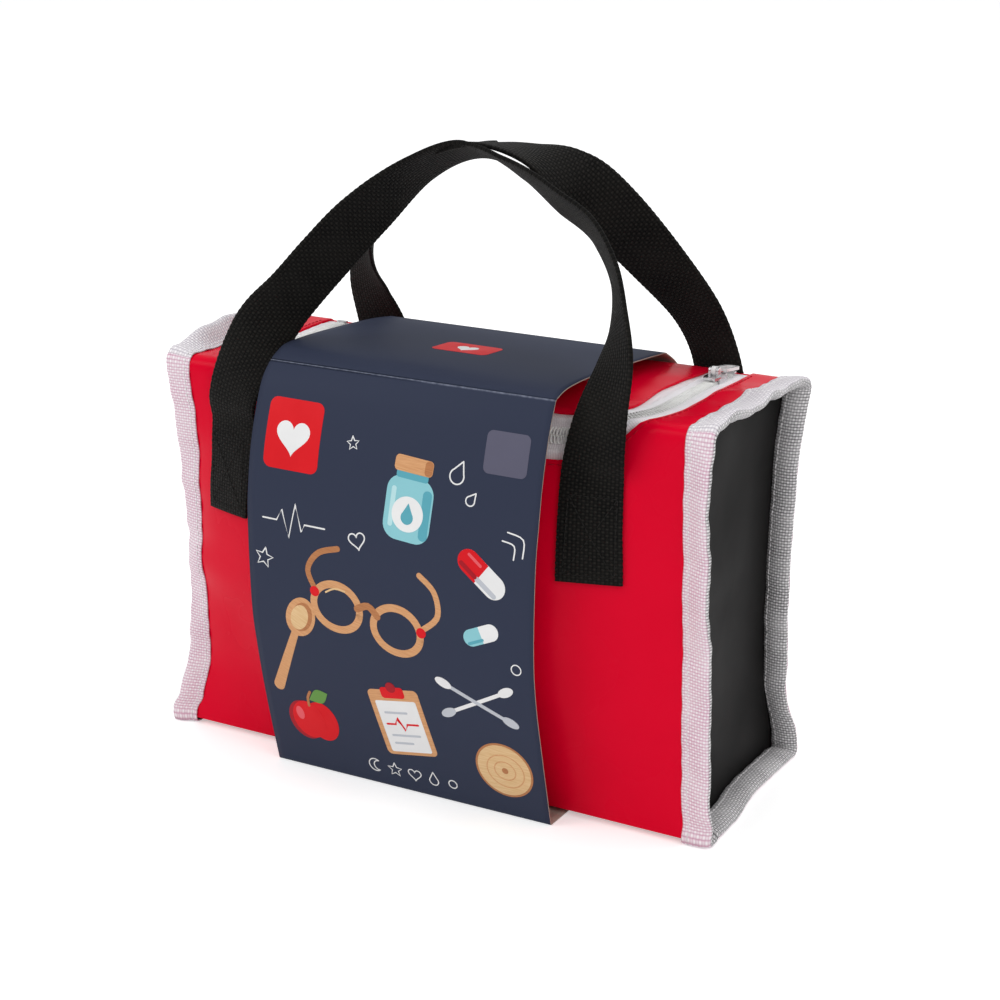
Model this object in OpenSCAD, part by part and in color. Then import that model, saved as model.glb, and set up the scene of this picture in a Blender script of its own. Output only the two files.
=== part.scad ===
// Toy doctor case: a soft zip-top case of glossy vinyl with bound end seams,
// two webbing handles and a printed card sleeve round its middle.
// Millimetres. X runs along the case, Y to the back, Z up, the floor is z = 0.

/* [Case body] */
// Length between the two end seams
case_w = 245; // [190:1:300]
// Depth between the front and back top edges
case_d = 98; // [80:1:130]
// Height of the vinyl box
case_h = 175; // [145:1:220]
// Radius where the vinyl turns over the long edges
edge_r = 5; // [3:0.5:8]
// Thickness of the vinyl
vinyl_t = 1.1; // [0.8:0.1:1.6]
// How far the front is pushed out by the contents
front_bulge = 26; // [0:1:30]
// How far the back is pushed out
back_bulge = 15; // [0:1:20]
// How far the lid is domed
lid_dome = 3; // [0:0.5:4]

/* [End seams] */
// Width of the bound seam that stands out at each end
seam_w = 12; // [9:0.5:16]
// Thickness of the woven binding tape
binding_t = 0.6; // [0.4:0.1:0.8]
// Thickness of the end panels
end_t = 1.1; // [0.8:0.1:1.6]
// Clearance between sewn layers
layer_gap = 0.3; // [0.2:0.05:0.4]

/* [Zip] */
// Distance from the end seam to the middle of the zip's side runs
zip_inset = 22.5; // [20:0.5:30]
// Distance of the zip's front run below the top front edge
zip_drop = 9; // [7:0.5:14]
// Radius of the zip's two corners
zip_corner_r = 36; // [26:1:42]
// Half of the width that shows between the vinyl edges
zip_show = 9; // [8:0.5:11]
// How far each tape reaches under the vinyl
zip_under = 4; // [2:0.5:5]
// Thickness of the zip tape
tape_t = 0.7; // [0.5:0.1:0.9]
// Width of one row of teeth
teeth_w = 2.6; // [2:0.1:3.2]
// Height of the teeth over the tape
teeth_h = 2.2; // [1.6:0.1:2.6]
// Distance from one tooth to the next
teeth_pitch = 2.8; // [2.4:0.1:4]
// Length of the slider
slider_l = 12; // [10:0.5:15]
// Distance of the slider's middle from the back top edge
slider_back = 24; // [22:1:28]
// Length of the pull from the slider's pin
pull_l = 21; // [16:1:23]
// Width of the pull
pull_w = 7; // [5:0.5:9]

/* [Handles] */
// Gap between the sewn ends of a strap and the part that swings
fold_gap = 0.8; // [0.6:0.1:1.5]
// Width of the webbing
strap_w = 27; // [22:1:32]
// Thickness of the webbing
strap_t = 1.8; // [1.2:0.1:2.4]
// Distance from the middle of the case to the middle of each strap leg
strap_x = 88; // [84:0.5:92]
// Length of each sewn strap end
strap_sewn = 46; // [36:1:70]
// How far below the case's top the straps leave it
strap_drop = 25; // [20:1:35]
// How far above the case's top the legs start to lean to the middle
strap_rise = 11; // [4:1:24]
// How far the front strap's middle stands above the case's top
arch_rise = 93.5; // [65:0.5:115]
// How far the back strap lies above the front strap at the middle
arch_step = 3.6; // [3.2:0.1:6]
// Tilt of the front strap at its middle
front_tilt = 26; // [22:1:34]
// Tilt of the back strap at its middle
back_tilt = 20; // [12:1:22]

/* [Card sleeve] */
// Width of the sleeve along the case
sleeve_w = 138; // [110:1:140]
// Thickness of the card
card_t = 0.5; // [0.3:0.1:0.8]
// Distance of the sleeve's upper front crease in front of the case's front top edge
sleeve_front = 14; // [9:0.5:16]
// Height of the upper front crease over the case's top
sleeve_over = 8; // [7:0.5:14]
// Height of the upper back crease over the case's top
sleeve_over_back = 7; // [5:0.5:12]
// Distance of the lower creases from the case's lower edges
sleeve_foot = 12.5; // [6:0.5:14]

/* [Hidden] */
$fn = 48;

base_z = binding_t + layer_gap;          // underside of the vinyl over the floor
top_z = base_z + case_h;                 // top of the vinyl at the edges
half_w = case_w / 2;
half_d = case_d / 2;
arc_l = PI * edge_r / 2;                 // developed length of one long edge's bend
flat_d = case_d - 2 * edge_r;
flat_h = case_h - 2 * edge_r;
loop_l = 2 * flat_d + 2 * flat_h + 4 * arc_l;
back_edge = flat_d + arc_l;              // developed distance from the top front edge to the top back edge
seam_tip = 0.6;                          // the vinyl stops this far short of the binding's fold

// ---- the developed surface of the vinyl ----
// s is the distance round the case, 0 on the top front edge, positive over the top to the back.

// [y, z, outward y, outward z, bulge size, place along the flat from 0 to 1]
function bend(cy, cz, a) = [cy + edge_r * cos(a), cz + edge_r * sin(a), cos(a), sin(a), 0, 0];
function loop_at(s) =
    let(u = (s + 2 * loop_l) % loop_l,
        y1 = half_d - edge_r,
        z0 = base_z + edge_r,
        z1 = top_z - edge_r,
        a0 = arc_l / 2, a1 = a0 + flat_d, a2 = a1 + arc_l, a3 = a2 + flat_h,
        a4 = a3 + arc_l, a5 = a4 + flat_d, a6 = a5 + arc_l, a7 = a6 + flat_h)
    u < a0 ? bend(-y1, z1, 135 - 90 * u / arc_l)
    : u < a1 ? [-y1 + u - a0, top_z, 0, 1, lid_dome, (u - a0) / flat_d]
    : u < a2 ? bend(y1, z1, 90 - 90 * (u - a1) / arc_l)
    : u < a3 ? [half_d, z1 - (u - a2), 1, 0, back_bulge, (u - a2) / flat_h]
    : u < a4 ? bend(y1, z0, -90 * (u - a3) / arc_l)
    : u < a5 ? [y1 - (u - a4), base_z, 0, -1, 0, 0]
    : u < a6 ? bend(-y1, z0, -90 - 90 * (u - a5) / arc_l)
    : u < a7 ? [-half_d, z0 + (u - a6), -1, 0, front_bulge, (u - a6) / flat_h]
    : bend(-y1, z1, 180 - 90 * (u - a7) / arc_l);

// how much of the bulge is left near the end seams, where the lid flattens sooner, and near the long edges
function swell(x, top) = abs(x) >= half_w ? 0 : pow(cos(90 * x / half_w), top ? 2 : 1);
function rise(f) = pow(abs(sin(180 * f)), 0.8);

// the point that lies off over the vinyl's outer face
function skin(x, s, off) =
    let(p = loop_at(s), r = off + p[4] * swell(x, p[3] == 1) * rise(p[5]))
    [x, p[0] + p[2] * r, p[1] + p[3] * r];

// developed height on the front of a point z over the floor
function front_s(z) = -(arc_l / 2 + top_z - edge_r - z);
function back_s(z) = back_edge + arc_l / 2 + top_z - edge_r - z;

// ---- the line of the zip on the developed surface ----

zip_x = half_w - zip_inset;              // middle of the side runs
zip_cx = zip_x - zip_corner_r;           // centre of the corner
zip_cs = zip_corner_r - zip_drop;
zip_end = back_edge - 8;                 // the side runs stop this far short of the back top edge
zip_side_l = zip_end - zip_cs;
zip_corner_l = PI * zip_corner_r / 2;
zip_half_l = zip_cx + zip_corner_l + zip_side_l;

// [x, s, outward x, outward s] at the distance d from the middle of the front run, to the right
function zip_right(d) =
    d <= zip_cx ? [d, -zip_drop, 0, -1]
    : d <= zip_cx + zip_corner_l ?
        let(a = -90 + (d - zip_cx) / zip_corner_r * 180 / PI)
        [zip_cx + zip_corner_r * cos(a), zip_cs + zip_corner_r * sin(a), cos(a), sin(a)]
    : [zip_x, zip_cs + d - zip_cx - zip_corner_l, 1, 0];
function zip_at(d) =
    let(p = zip_right(abs(d)), side = d < 0 ? -1 : 1)
    [side * p[0], p[1], side * p[2], p[3]];
// the point beside the zip's middle line by out, and off over the vinyl's outer face
function zip_skin(d, out, off) = let(p = zip_at(d)) skin(p[0] + out * p[2], p[1] + out * p[3], off);

// ---- closed solids from grids of points ----

// a band: rings of points, each a closed outline of the same length, capped at both ends
module band(rings) {
    n = len(rings[0]);
    last = (len(rings) - 1) * n;
    polyhedron(
        points = [for (r = rings) each r],
        faces = [
            [for (i = [n - 1:-1:0]) i],
            for (j = [0:len(rings) - 2], i = [0:n - 1])
                let(a = j * n + i, b = j * n + (i + 1) % n)
                each [[a, b, b + n], [a, b + n, a + n]],
            [for (i = [0:n - 1]) last + i]
        ]);
}

// a sheet: outer[i][j] and inner[i][j] are its two faces, and has(i, j) says which cells are there.
// With closed rows, the cell after the last one joins on to the first row.
module sheet(outer, inner, has, rows) {
    n = len(outer);
    m = len(outer[0]);
    at = function(i, j, face) (face * n + i) * m + j % m;
    polyhedron(
        points = concat([for (c = outer) each c], [for (c = inner) each c]),
        faces = [
            for (i = [0:n - 2], j = [0:rows - 1]) if (has(i, j))
                let(a = at(i, j, 0), b = at(i + 1, j, 0), c = at(i + 1, j + 1, 0), d = at(i, j + 1, 0),
                    e = at(i, j, 1), f = at(i + 1, j, 1), g = at(i + 1, j + 1, 1), h = at(i, j + 1, 1))
                each concat(
                    [[a, b, c], [a, c, d], [e, g, f], [e, h, g]],
                    has(i - 1, j) ? [] : [[a, d, h], [a, h, e]],
                    has(i + 1, j) ? [] : [[b, f, g], [b, g, c]],
                    has(i, j - 1) ? [] : [[a, e, f], [a, f, b]],
                    has(i, j + 1) ? [] : [[d, c, g], [d, g, h]])
        ]);
}

// ---- vinyl wrap: front, bottom, back and the two borders beside the lid, in one sheet ----

wrap_cols = 16;                          // columns between the two side runs of the zip
wrap_edge_x = zip_x + zip_show;          // where the borders begin
wrap_x = concat(
    [-half_w - seam_w + seam_tip, -half_w, -(half_w + wrap_edge_x) / 2],
    [for (i = [0:wrap_cols]) wrap_edge_x * sin(90 * (2 * i / wrap_cols - 1))],
    [(half_w + wrap_edge_x) / 2, half_w, half_w + seam_w - seam_tip]);
wrap_first = 3;                          // first column of the part between the borders
wrap_last = wrap_first + wrap_cols - 1;

// where the front's upper edge lies at x, on the outer side of the zip
function wrap_top(x) =
    abs(x) <= zip_cx ? -zip_drop - zip_show
    : zip_cs - sqrt(max(0, pow(zip_corner_r + zip_show, 2) - pow(abs(x) - zip_cx, 2)));

// rows: evenly spread over each flat and each bend, counted from the top back edge to the front
function spread(a, b, n) = [for (i = [0:n - 1]) a + (b - a) * i / n];
wrap_s = concat(
    spread(back_edge, back_edge + arc_l / 2, 2),
    spread(back_edge + arc_l / 2, back_edge + arc_l / 2 + flat_h, 9),
    spread(back_edge + arc_l / 2 + flat_h, back_edge + 3 * arc_l / 2 + flat_h, 3),
    spread(back_edge + 3 * arc_l / 2 + flat_h, back_edge + 3 * arc_l / 2 + flat_h + flat_d, 3),
    spread(-flat_h - 3 * arc_l / 2 + loop_l, -flat_h - arc_l / 2 + loop_l, 3));
front_rows = 9;                          // from the bottom front bend up to a little below the zip
zip_rows = 12;                           // from there up to the zip
top_rows = 7;                            // on the borders, from the zip's corner to the top back edge
front_first = len(wrap_s);
zip_first = front_first + front_rows;
wrap_rows = zip_first + zip_rows;

front_start = loop_l - flat_h - arc_l / 2;
front_break = -zip_drop - zip_show - 7;
function mix(a, b, t) = a + (b - a) * t;
// rows lie closer together on the bend over the top front edge: slow() stretches the bend, fast() undoes it
bend_close = 3;
function slow(s) = s + bend_close * max(-arc_l / 2, min(arc_l / 2, s));
function fast(w) =
    abs(w) <= (1 + bend_close) * arc_l / 2 ? w / (1 + bend_close) : w - sign(w) * bend_close * arc_l / 2;
// rows of the borders behind the zip's corners
border_s = concat(
    spread(loop_l + zip_cs, loop_l + back_edge - arc_l / 2, top_rows - 2),
    spread(loop_l + back_edge - arc_l / 2, loop_l + back_edge, 2));
function wrap_row_s(x, j) =
    j < front_first ? wrap_s[j]
    : j < zip_first ? mix(front_start, loop_l + front_break, (j - front_first) / front_rows)
    : j <= wrap_rows ?
        let(to = wrap_top(min(abs(x), wrap_edge_x)))
        loop_l + fast(mix(slow(front_break), slow(to), (j - zip_first) / zip_rows))
    : border_s[j - wrap_rows];
function is_border(i) = i < wrap_first || i > wrap_last;

module vinyl_wrap() {
    rows = wrap_rows + top_rows;
    face = function(off) [for (x = wrap_x) [for (j = [0:rows - 1]) skin(x, wrap_row_s(x, j), off)]];
    has = function(i, j)
        i >= 0 && i < len(wrap_x) - 1 && (is_border(i) || (j >= 0 && j < wrap_rows));
    color("#d4002a") sheet(face(0), face(-vinyl_t), has, rows);
}

// ---- lid: the tongue inside the zip, folded along the top back edge ----

lid_rows = 14;
lid_cols = 16;
lid_r = zip_corner_r - zip_show;
lid_front = zip_cs - lid_r;
function lid_half(s) =
    zip_cx + (s >= zip_cs ? lid_r : sqrt(max(0, pow(lid_r, 2) - pow(zip_cs - s, 2))));

module lid_panel() {
    s_at = function(j) lid_front + (back_edge - lid_front) * (1 - cos(90 * j / lid_rows));
    face = function(off)
        [for (i = [0:lid_cols]) [for (j = [0:lid_rows])
            skin(lid_half(s_at(j)) * sin(90 * (2 * i / lid_cols - 1)), s_at(j), off)]];
    has = function(i, j) i >= 0 && i < lid_cols && j >= 0 && j < lid_rows;
    color("#c8203c") sheet(face(0), face(-vinyl_t), has, lid_rows);
}

// ---- end panels and their bindings ----

// a rounded rectangle in the YZ plane, inset from the vinyl's outer face by in
module end_outline(in) {
    r = max(0.5, edge_r - in);
    w = case_d - 2 * in;
    h = case_h - 2 * in;
    translate([0, base_z + case_h / 2])
        union() {
            square([w - 2 * r, h], center = true);
            square([w, h - 2 * r], center = true);
            for (sy = [-1, 1], sz = [-1, 1])
                translate([sy * (w / 2 - r), sz * (h / 2 - r)]) circle(r);
        }
}
// the outline drawn along X from x0 to x1
module along_x(x0, x1) {
    translate([x0, 0, 0]) rotate([90, 0, 90]) linear_extrude(x1 - x0) children();
}

end_in = vinyl_t + layer_gap;            // the end panel's rim lies this far inside the vinyl's outer face
module end_panel() {
    color("#2b2a28") {
        along_x(half_w - end_t, half_w) end_outline(end_in);
        along_x(half_w, half_w + seam_w - seam_tip)
            difference() {
                end_outline(end_in);
                end_outline(end_in + end_t);
            }
    }
}
module end_panel_right() { end_panel(); }
module end_panel_left() { mirror([1, 0, 0]) end_panel(); }

// binding tape folded over the seam, with one leg on the vinyl and one inside the rim
module binding() {
    start = half_w + layer_gap;
    tip = half_w + seam_w;
    inner = end_in + end_t + layer_gap;
    color("#e9e4e2") {
        along_x(start, tip)
            difference() {
                end_outline(-base_z);
                end_outline(-layer_gap);
            }
        along_x(start, tip)
            difference() {
                end_outline(inner);
                end_outline(inner + binding_t);
            }
        along_x(tip, tip + binding_t)
            difference() {
                end_outline(-base_z);
                end_outline(inner + binding_t);
            }
    }
}
module binding_right() { binding(); }
module binding_left() { mirror([1, 0, 0]) binding(); }

// ---- zip ----

zip_n = floor(zip_half_l / teeth_pitch) * 2;
tape_n = 30;                             // tape steps on each side of the middle
tape_cols = 4;                           // tape steps across
tape_gap = 0.6;                          // the tapes lie this far inside the vinyl
tape_off = -vinyl_t - tape_gap;
tape_split = 0.25;                       // half of the parting between the two tapes
teeth_split = 0.15;                      // half of the parting between the two rows
teeth_reach = 0.55;                      // half of the zigzag

module zip_tape(a, b) {
    face = function(off)
        [for (i = [0:2 * tape_n]) [for (j = [0:tape_cols])
            zip_skin(zip_half_l * (i / tape_n - 1), mix(a, b, j / tape_cols), off)]];
    has = function(i, j) i >= 0 && i < 2 * tape_n && j >= 0 && j < tape_cols;
    color("#efedec") sheet(face(tape_off - tape_t), face(tape_off), has, tape_cols);
}
module zip_tape_outer() { zip_tape(tape_split, zip_show + zip_under); }
module zip_tape_inner() { zip_tape(-zip_show - zip_under, -tape_split); }

teeth_top = tape_off + teeth_h;
teeth_low = tape_off + 0.05;             // the teeth stand on the tape with no shared face
// one row of teeth: its inner side is a zigzag that meshes with the other row
module zip_teeth(side) {
    shoulder = tape_off + teeth_h * 0.55;
    color("#f6f6f5") band([
        for (i = [-zip_n:zip_n])
            let(d = zip_half_l * i / zip_n,
                zig = (i % 2 == 0 ? teeth_reach : -teeth_reach),
                near = zig + side * teeth_split,
                far = side * teeth_w,
                ring = [zip_skin(d, near, teeth_low), zip_skin(d, near, teeth_top),
                        zip_skin(d, side * teeth_w * 0.75, teeth_top), zip_skin(d, far, shoulder),
                        zip_skin(d, far, teeth_low)])
            side > 0 ? ring : [for (k = [4:-1:0]) ring[k]]
    ]);
}
module zip_teeth_outer() { zip_teeth(1); }
module zip_teeth_inner() { zip_teeth(-1); }

slider_y = half_d - slider_back;
slider_z = skin(zip_x, back_edge / 2, teeth_top)[2];     // highest top of the teeth on the side run
slider_gap = 0.35;                       // between the teeth and the slider
slider_plate = 1.2;
slider_w = 2 * teeth_w + 2 * slider_gap + 1.6;
flange_t = 0.8;
crown_h = 3.4;
crown_t = 1;
crown_gap = 2.6;                         // between the crown's two ears
pin_r = 0.75;
pin_fit = 0.08;
pin_z = slider_z + slider_gap + slider_plate + crown_h - pin_r - 0.55;
pull_t = 1.3;
pull_wall = 1.7;                         // round the pull's eye
pull_play = 0.3;                         // beside the pull's root, between the ears
pull_drop = 8;                           // how far the pull's end hangs below level, in degrees
stop_l = 1.8;

// metal stops at both ends of the zip
module zip_stops() {
    color("#d8d8d8")
        for (side = [-1, 1])
            let(p = skin(side * zip_x, zip_end, teeth_low + teeth_h / 2))
            translate([p[0], p[1] + layer_gap + stop_l / 2, p[2]])
                cube([2 * teeth_w, stop_l, teeth_h], center = true);
}

// the slider: an upper plate, two flanges that hold the teeth between them, and a crown with its pin
module zip_slider() {
    y0 = slider_y - slider_l / 2;
    z0 = slider_z + slider_gap;
    flange_z = slider_z - teeth_h + 2 * slider_gap;
    ear_r = pin_r + 0.7;
    color("#cfd0d2") {
        translate([zip_x, y0, z0]) linear_extrude(slider_plate) slider_outline();
        for (side = [-1, 1])
            translate([zip_x + side * (slider_w - flange_t) / 2 - flange_t / 2, y0 + 3, flange_z])
                cube([flange_t, slider_l - 4, z0 - flange_z + slider_plate / 2]);
        for (side = [-1, 1])
            translate([zip_x + side * (crown_gap + crown_t) / 2 - crown_t / 2, slider_y, 0]) {
                translate([0, -ear_r, z0 + slider_plate / 2])
                    cube([crown_t, 2 * ear_r, pin_z - z0 - slider_plate / 2]);
                translate([0, 0, pin_z]) rotate([0, 90, 0]) cylinder(h = crown_t, r = ear_r);
            }
        translate([zip_x - crown_gap / 2 - crown_t / 2, slider_y, pin_z])
            rotate([0, 90, 0]) cylinder(h = crown_gap + crown_t, r = pin_r);
    }
}
module slider_outline() {
    w = slider_w / 2;
    l = slider_l;
    polygon([[-w, l * 0.35], [-w * 0.75, 0], [-0.8, 0.9], [0.8, 0.9], [w * 0.75, 0], [w, l * 0.35],
             [w * 0.8, l], [-w * 0.8, l]]);
}

// the pull lies back from the slider's pin, a tab with an eye in its end
module zip_pull() {
    root_r = pin_r + 1.1;
    root_w = crown_gap - 2 * pull_play;
    root_l = 5;
    end_r = pull_w / 2;
    slot_w = pull_w - 2 * pull_wall;
    straight_l = pull_l - end_r - root_l;
    color("#f0f0f0")
        translate([zip_x, slider_y, pin_z]) rotate([-pull_drop, 0, 0])
            difference() {
                union() {
                    rotate([0, 90, 0]) cylinder(h = root_w, r = root_r, center = true);
                    translate([-root_w / 2, 0, -pull_t / 2]) cube([root_w, root_l + 1, pull_t]);
                    translate([-end_r, root_l, -pull_t / 2]) cube([pull_w, straight_l, pull_t]);
                    translate([0, pull_l - end_r, -pull_t / 2]) cylinder(h = pull_t, r = end_r);
                }
                rotate([0, 90, 0]) cylinder(h = crown_gap, r = pin_r + pin_fit, center = true);
                translate([0, pull_l - end_r, -pull_t]) cylinder(h = 2 * pull_t, r = slot_w / 2);
                translate([-slot_w / 2, root_l + pull_wall, -pull_t])
                    cube([slot_w, straight_l - pull_wall, 2 * pull_t]);
            }
}

// ---- handles ----

strap_leave = case_h - strap_drop;       // height at which the straps leave the case
strap_low = strap_leave - strap_sewn;
strap_turn = case_h + strap_rise;
arch_h = case_h + arch_rise;

// one end of a strap, lying on the front or the back
module strap_end(side, x) {
    face_s = side < 0 ? function(z) front_s(z) : function(z) back_s(z);
    n = 6;
    rows = 5;
    face = function(off)
        [for (i = [0:n]) [for (j = [0:rows])
            skin(x + (i / n - 0.5) * strap_w,
                 face_s(mix(strap_low, strap_leave - fold_gap, (side < 0 ? j : rows - j) / rows)), off)]];
    has = function(i, j) i >= 0 && i < n && j >= 0 && j < rows;
    sheet(face(layer_gap + strap_t), face(layer_gap), has, rows);
}
module strap_ends(side) {
    color("#1b1a19") for (x = [-strap_x, strap_x]) strap_end(side, x);
}
module front_strap_ends() { strap_ends(-1); }
module back_strap_ends() { strap_ends(1); }

// where a strap leaves the case: the y of its middle line there, and how much it slants across
strap_mid = 2 * layer_gap + strap_t / 2;
function leave_y(s, off) =
    [for (x = [strap_x - strap_w / 2, strap_x + strap_w / 2]) skin(x, s, off)[1]];
front_y = leave_y(front_s(strap_leave), strap_mid);
back_y = leave_y(back_s(strap_leave), strap_mid);
arch_y = -3;                             // the front strap's arch stands over this line
arch_back_y = -1.5;                      // and the back strap's over this one
bow = 30;                                // how strongly a strap first leans outwards
squareness = 1.65;                       // 2 is an ellipse, less is straighter

// the arch's middle line seen from the front: a from -1, left end, to 1, right end
leg_share = 0.28;                        // the part of a on each side that is straight leg
function arch_xz(a, top) =
    let(side = sign(a), t = abs(a), w = 90 * (1 - t / (1 - leg_share)))
    t >= 1 - leg_share ?
        [side * strap_x, strap_turn - (strap_turn - strap_leave) * (t - 1 + leg_share) / leg_share]
    : [side * strap_x * pow(cos(w), 2 / squareness),
       strap_turn + (top - strap_turn) * pow(sin(w), 2 / squareness)];
function arch_point(a, leave, middle, top) =
    let(p = arch_xz(a, top), h = max(0, (p[1] - strap_leave) / (top - strap_leave)),
        out = sign(leave) * bow)
    [p[0], leave + out * h + (middle - leave - out) * pow(h, 1.5), p[1]];

function unit(v) = v / norm(v);
function smooth(t) = t * t * (3 - 2 * t);
turn_from = 0.8;                         // the strap turns over between these two places on it
turn_to = 0.08;
// ring of four corners round the middle line: the strap lies flat on the case at its ends
// and turns until it lies flat under a hand at its middle
function arch_ring(a, leave, slant, middle, top, tilt) =
    let(da = 0.01,
        p = arch_point(a, leave, middle, top),
        along = unit(arch_point(min(1, a + da), leave, middle, top)
                     - arch_point(max(-1, a - da), leave, middle, top)),
        turn = 90 * smooth(max(0, min(1, (turn_from - abs(a)) / (turn_from - turn_to)))),
        flat = sign(leave) * unit([-sign(a), slant, 0]),
        over = [0, -cos(tilt), sin(tilt)],
        raw = flat * cos(turn) + over * sin(turn),
        across = unit(raw - along * (raw * along)) * strap_w / 2,
        up = unit(cross(across, along)) * strap_t / 2)
    [p + across + up, p - across + up, p - across - up, p + across - up];

arch_n = 22;                             // steps on each side of the middle
module arch(ends, middle, top, tilt) {
    leave = (ends[0] + ends[1]) / 2;
    slant = (ends[0] - ends[1]) / strap_w;
    color("#1b1a19")
        band([for (i = [-arch_n:arch_n]) arch_ring(i / arch_n, leave, slant, middle, top, tilt)]);
}
module front_handle() { arch(front_y, arch_y, arch_h, front_tilt); }
module back_handle() { arch(back_y, arch_back_y, arch_h + arch_step, back_tilt); }

// ---- card sleeve ----

// points on a shallow arc from a to b that stands out to the right of the way by sag
function bowed(a, b, sag, n) =
    let(d = b - a, q = unit([d[1], -d[0]]))
    [for (i = [0:n - 1]) let(t = i / n) a + d * t + q * sag * 4 * t * (1 - t)];
sleeve_half = sleeve_w / 2;
sleeve_fore = 3.5;                       // the sleeve's foot lies this far in front of the case's middle
// the sleeve sits askew: at its left edge it lies further forward and stands higher than in its middle
sleeve_back = 12;                        // the upper back crease lies this far inside the case's back
sleeve_skew = 1;
sleeve_lift = 1;
sleeve_lift_back = 1;
back_snug = 2;                            // the card lies closer to the back than to the front
card_clear = 7;                          // between the card and the fullest part of the front and back
front_sag = front_bulge + card_clear - (sleeve_front + sleeve_foot + sleeve_fore) / 2;
back_sag = back_bulge + card_clear - (sleeve_foot - sleeve_fore) / 2 - back_snug;
edge_bend = [half_d + 2.1, top_z - 2.9]; // where the card bends softly over the case's top back edge

// the middle line of the card at x: its creases are the top front, bottom front, bottom back and top back
function sleeve_line(x) =
    let(t = x / sleeve_half,
        way = [t * sleeve_skew, 0],
        tf = way + [-half_d - sleeve_front, top_z + sleeve_over - t * sleeve_lift],
        bf = way + [-half_d - sleeve_foot - sleeve_fore, card_t / 2],
        bb = way + [half_d + sleeve_foot - sleeve_fore, card_t / 2],
        tb = way + [half_d - sleeve_back, top_z + sleeve_over_back - t * sleeve_lift_back])
    concat(bowed(tf, bf, front_sag, 14), bowed(bf, bb, 0, 2), bowed(bb, edge_bend, back_sag, 11),
           bowed(edge_bend, tb, 0, 1), bowed(tb, tf, 1.2, 8));
// the line moved sideways by d at each point
function shifted(line, d) =
    let(n = len(line))
    [for (i = [0:n - 1])
        let(a = unit(line[i] - line[(i + n - 1) % n]), b = unit(line[(i + 1) % n] - line[i]),
            q = unit([a[1] + b[1], -a[0] - b[0]]),
            k = q * [a[1], -a[0]])
        line[i] + q * d / k];
sleeve_cols = 4;
module card_sleeve() {
    face = function(d)
        [for (i = [0:sleeve_cols])
            let(x = sleeve_half * (2 * i / sleeve_cols - 1))
            [for (p = shifted(sleeve_line(x), d)) [x, p[0], p[1]]]];
    rows = len(sleeve_line(0));
    has = function(i, j) i >= 0 && i < sleeve_cols;
    color("#383e50") sheet(face(card_t / 2), face(-card_t / 2), has, rows);
}

vinyl_wrap();
lid_panel();
end_panel_left();
end_panel_right();
binding_left();
binding_right();
zip_tape_outer();
zip_tape_inner();
zip_teeth_outer();
zip_teeth_inner();
zip_stops();
zip_slider();
zip_pull();
front_strap_ends();
front_handle();
back_strap_ends();
back_handle();
card_sleeve();
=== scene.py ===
# Toy doctor case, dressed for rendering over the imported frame.
import bisect, bmesh, bpy, math
from mathutils import Matrix, Vector, noise


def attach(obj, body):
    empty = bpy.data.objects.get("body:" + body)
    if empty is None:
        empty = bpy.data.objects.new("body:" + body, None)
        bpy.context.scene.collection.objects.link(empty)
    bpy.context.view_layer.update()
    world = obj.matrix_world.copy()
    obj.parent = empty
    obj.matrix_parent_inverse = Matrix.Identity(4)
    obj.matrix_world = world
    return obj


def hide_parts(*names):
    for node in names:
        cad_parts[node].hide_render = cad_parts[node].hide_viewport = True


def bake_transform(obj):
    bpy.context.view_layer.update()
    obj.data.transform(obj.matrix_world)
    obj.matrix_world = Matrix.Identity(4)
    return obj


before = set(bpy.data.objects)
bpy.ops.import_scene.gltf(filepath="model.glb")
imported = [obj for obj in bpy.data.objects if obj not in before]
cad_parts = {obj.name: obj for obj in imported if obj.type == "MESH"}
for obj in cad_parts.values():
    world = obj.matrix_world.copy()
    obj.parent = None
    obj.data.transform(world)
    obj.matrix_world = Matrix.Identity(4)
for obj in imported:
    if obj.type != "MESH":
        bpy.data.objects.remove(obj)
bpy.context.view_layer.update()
print("frame loaded:", len(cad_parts), "nodes")

mm = 0.001   # lengths below are in millimetres, as in the part's source

# camera, light and floor; the lamps are in metres
shot = {"place": (433.23, -742.01, 390.69), "look": (-0.471892, 0.826678, -0.306465),
        "right": (0.868835, 0.495096, -0.002321), "lens": 72.97, "floor": (0.93, 0.93, 0.93), "floorSize": 12,
        "floorGlow": 0.42, "sky": 0.62, "skySeen": 0.5,
        "lamps": [  # place, aimed at, size, power
            ((-1.3, -1.5, 1.6), (0, 0, 0.1), 1.1, 13),
            ((1.7, -0.9, 1.3), (0, 0, 0.1), 1.0, 7),
            ((0.1, 0.5, 2.1), (0, 0, 0.1), 1.3, 12)]}

camera = bpy.data.objects.new("camera", bpy.data.cameras.new("camera"))
bpy.context.scene.collection.objects.link(camera)
camera.data.lens = shot["lens"]
camera.data.sensor_width = 36
camera.data.clip_start = 0.05
lookAxis, rightAxis = Vector(shot["look"]), Vector(shot["right"])
upAxis = rightAxis.cross(lookAxis).normalized()
camera.matrix_world = Matrix.Translation(Vector(shot["place"]) * mm) @ Matrix(
    (rightAxis, upAxis, -lookAxis)).transposed().to_4x4()
bpy.context.scene.camera = camera
bpy.context.scene.view_settings.view_transform = "Standard"


def newMaterial(name):
    material = bpy.data.materials.new(name)
    material.use_nodes = True
    tree = material.node_tree
    shader = tree.nodes["Principled BSDF"]
    return material, tree, shader


def feed(tree, value, target):
    # an input takes another node's output, or a value of its own
    if isinstance(value, bpy.types.NodeSocket):
        tree.links.new(value, target)
    else:
        target.default_value = value


def addNode(tree, kind, **inputs):
    node = tree.nodes.new(kind)
    for label, value in inputs.items():
        feed(tree, value, node.inputs[label])
    return node


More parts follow.
